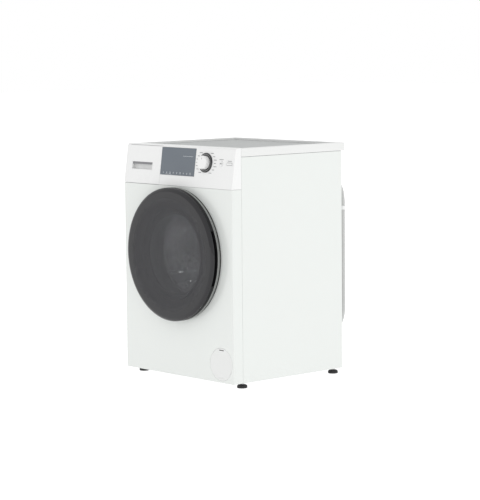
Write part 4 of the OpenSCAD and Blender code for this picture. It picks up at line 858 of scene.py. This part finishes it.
# A dark plate set behind the finger notch: painted shadow in the notch, in the dark plastic finish.
notch_x, notch_z = (flap_low.x + flap_high.x) / 2 + 2 * MM, flap_high.z - 7.5 * MM
notch_half_w, notch_half_h = 11.8 * MM, 1.4 * MM
notch_sides = [(notch_x + across * notch_half_w, notch_z + rise * notch_half_h)
               for across, rise in ((-1, -1), (1, -1), (1, 1), (-1, 1))]
notch_front, notch_back = flap_low.y + 1.3 * MM, flap_low.y + 1.9 * MM
notch = [(x, y, z) for y in (notch_front, notch_back) for x, z in notch_sides]
piece("filter_notch_painted_shadow", notch, BLOCK_FACES, dark_plastic, "filter_flap")
grey_plastic = moulding("grey_plastic", (0.50, 0.51, 0.51), 0.46, spread=0.06, patch=12)
finished("drain_filter", "filter_cap_and_basket", grey_plastic, "filter", 0.5 * MM, steps=2)

# ---- Feet: four black rubber-faced pads with grip notches, each on its own threaded stud that is held
# by a hexagon lock nut under the base frame ----
pad_notches, notch_deep, notched_from_r = 24, 0.8 * MM, 17.5 * MM
pad_h, thread_r, thread_pitch = 12 * MM, 5.0 * MM, 1.5 * MM
thread_start = pad_h - 0.5 * MM


def notched(r, d, a):
    """Grip notches round a foot's pad."""
    deep = notch_deep if r > notched_from_r and 2 * MM < d < 8 * MM else 0.0
    return r - deep * (0.5 + 0.5 * math.cos(pad_notches * a)) ** 3, d


for corner in ("front_left", "front_right", "rear_left", "rear_right"):
    low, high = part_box("foot_" + corner)
    pad_r = (high.x - low.x) / 2
    centre = ((low.x + high.x) / 2, (low.y + high.y) / 2, low.z)
    pad_outline = [(0, 0.8 * MM), (pad_r - 5 * MM, 0.8 * MM), (pad_r - 4 * MM, 0), (pad_r - 1.5 * MM, 0),
                   (pad_r, 1.6 * MM), (pad_r, 2.2 * MM), (pad_r, 7.6 * MM), (pad_r, 8.0 * MM),
                   (pad_r - 1 * MM, 9 * MM), (pad_r - 3 * MM, 9.4 * MM), (pad_r - 3 * MM, 11.4 * MM),
                   (pad_r - 5 * MM, pad_h), (4 * MM, pad_h), (0, pad_h)]
    pad_mesh = turned(eased(pad_outline, 0.5 * MM, 3), centre, (0, 0, 1), 96, notched)
    pad = piece(f"foot_{corner}_pad", *pad_mesh, black_rubber, "foot_" + corner, 40)
    thread = [(0, thread_start)]
    top = high.z - low.z
    level = thread_start
    while level < top - thread_pitch:
        thread += [(thread_r - 0.65 * MM, level), (thread_r, level + thread_pitch / 2)]
        level += thread_pitch
    thread += [(thread_r - 0.7 * MM, top - 0.6 * MM), (thread_r - 1.4 * MM, top), (0, top)]
    piece(f"foot_{corner}_stud", *turned(thread, centre, (0, 0, 1), 32), steel, "foot_" + corner, 20)
    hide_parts("foot_" + corner)
finished("foot_lock_nuts", "foot_hexagon_nuts", steel, "cabinet", 0.5 * MM, steps=2)

# ---- Springs and sump bellows: wire springs that hang the tub from the top rails, and a rubber bellows
# from its spout to the pump ----
spring_low, spring_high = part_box("suspension_springs")
spring_x, wire_r, coil_r = spring_high.x - 12.5 * MM, 1.8 * MM, 10.2 * MM
spring_y = (spring_low.y + spring_high.y) / 2
turns, steps_a_turn = 9, 20
end_r, end_h = 12.4 * MM, 8 * MM
coil_l = spring_high.z - spring_low.z - 2 * end_h
end_outline = eased([(0, 0), (end_r, 0), (end_r, end_h), (0, end_h)], 1.5 * MM)
for side, name in ((-1, "left"), (1, "right")):
    points = []
    for i in range(turns * steps_a_turn + 1):
        a = 2 * math.pi * i / steps_a_turn
        points.append(Vector((side * spring_x + coil_r * math.cos(a), spring_y + coil_r * math.sin(a),
                              spring_low.z + end_h + coil_l * i / (turns * steps_a_turn))))
    coil_verts, coil_faces = tube(points, [wire_r] * len(points), 10, Vector((0, 0, 1)))
    for z in (spring_low.z, spring_high.z - end_h):
        end_verts, end_faces = turned(end_outline, (side * spring_x, spring_y, z), (0, 0, 1), 32)
        base = len(coil_verts)
        coil_verts += end_verts
        coil_faces += [tuple(base + i for i in face) for face in end_faces]
    coil = piece(f"spring_{name}", coil_verts, coil_faces, steel, "cabinet", 40)
    if side > 0:
        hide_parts("suspension_springs")
    coil.parent = None
    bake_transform(coil)
sump_low, sump_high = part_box("sump_hose")
sump_x, sump_out_r = (sump_low.x + sump_high.x) / 2, 19 * MM
spout = Vector((sump_x, sump_high.y - sump_out_r, sump_high.z))
inlet = Vector((sump_x, sump_low.y + sump_out_r, sump_low.z))
sump_r, fold_deep, fold_steps, sump_steps, plain_steps = 17.2 * MM, 1.6 * MM, 8, 64, 4
sump_points, sump_radii = [], []
for i in range(sump_steps + 1):
    folded = plain_steps < i < sump_steps - plain_steps
    sump_points.append(inlet.lerp(spout, i / sump_steps))
    sump_radii.append(sump_r + (fold_deep * math.cos(2 * math.pi * i / fold_steps) if folded else 0.0))
sump = piece("sump_bellows", *tube(sump_points, sump_radii, 32, Vector((1, 0, 0))), black_rubber, "cabinet",
             60)
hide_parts("sump_hose")
sump.parent = None
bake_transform(sump)


# ---- What is inside and behind: frames, tub, ballast, motor, belt, pump and fittings keep their shape
# from the design and take the finish of what they are made of ----
def keep(material, *nodes):
    """Gives a finish to pieces that keep the shape of their design."""
    for node in nodes:
        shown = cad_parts[node]
        shown.data.materials.clear()
        shown.data.materials.append(material)


cast = moulding("cast_alloy", (0.45, 0.46, 0.47), 0.5, spread=0.14, patch=24, grain=700, depth=0.0001,
                Metallic=0.8)
iron = moulding("ballast", (0.24, 0.235, 0.22), 0.85, spread=0.3, patch=30, grain=320, depth=0.0006)
paint = moulding("motor_paint", (0.055, 0.06, 0.066), 0.42, spread=0.15, patch=20)
blue = moulding("blue_plastic", (0.03, 0.11, 0.32), 0.4, spread=0.1, patch=18)
circuit = moulding("circuit", (0.02, 0.10, 0.045), 0.5, spread=0.25, patch=60, grain=500, depth=0.00008)
tub_plastic = moulding("grey_plastic", (0.62, 0.63, 0.62), 0.5, spread=0.05, patch=7, grain=420,
                       depth=0.0001)
keep(galvanised, "base_frame", "top_frame")
keep(tub_plastic, "tub_front", "tub_rear", "drain_pump", "dispenser_housing")
keep(iron, "front_counterweight", "top_counterweight")
keep(cast, "drum_spider", "drum_pulley")
keep(paint, "motor", "damper_cylinders")
keep(steel, "damper_rods", "drum_bearings", "heating_element", "motor_pulley")
keep(black_rubber, "drive_belt", "mains_gland")
keep(blue, "inlet_valves")
keep(circuit, "control_board")
keep(black_gloss, "pump_impeller")
keep(white_plastic, "door_lock")
keep(grey_plastic, "drain_outlet")
finished("hose_clips", "hose_clip_mouldings", white_plastic, "cabinet", 0.4 * MM, steps=2)
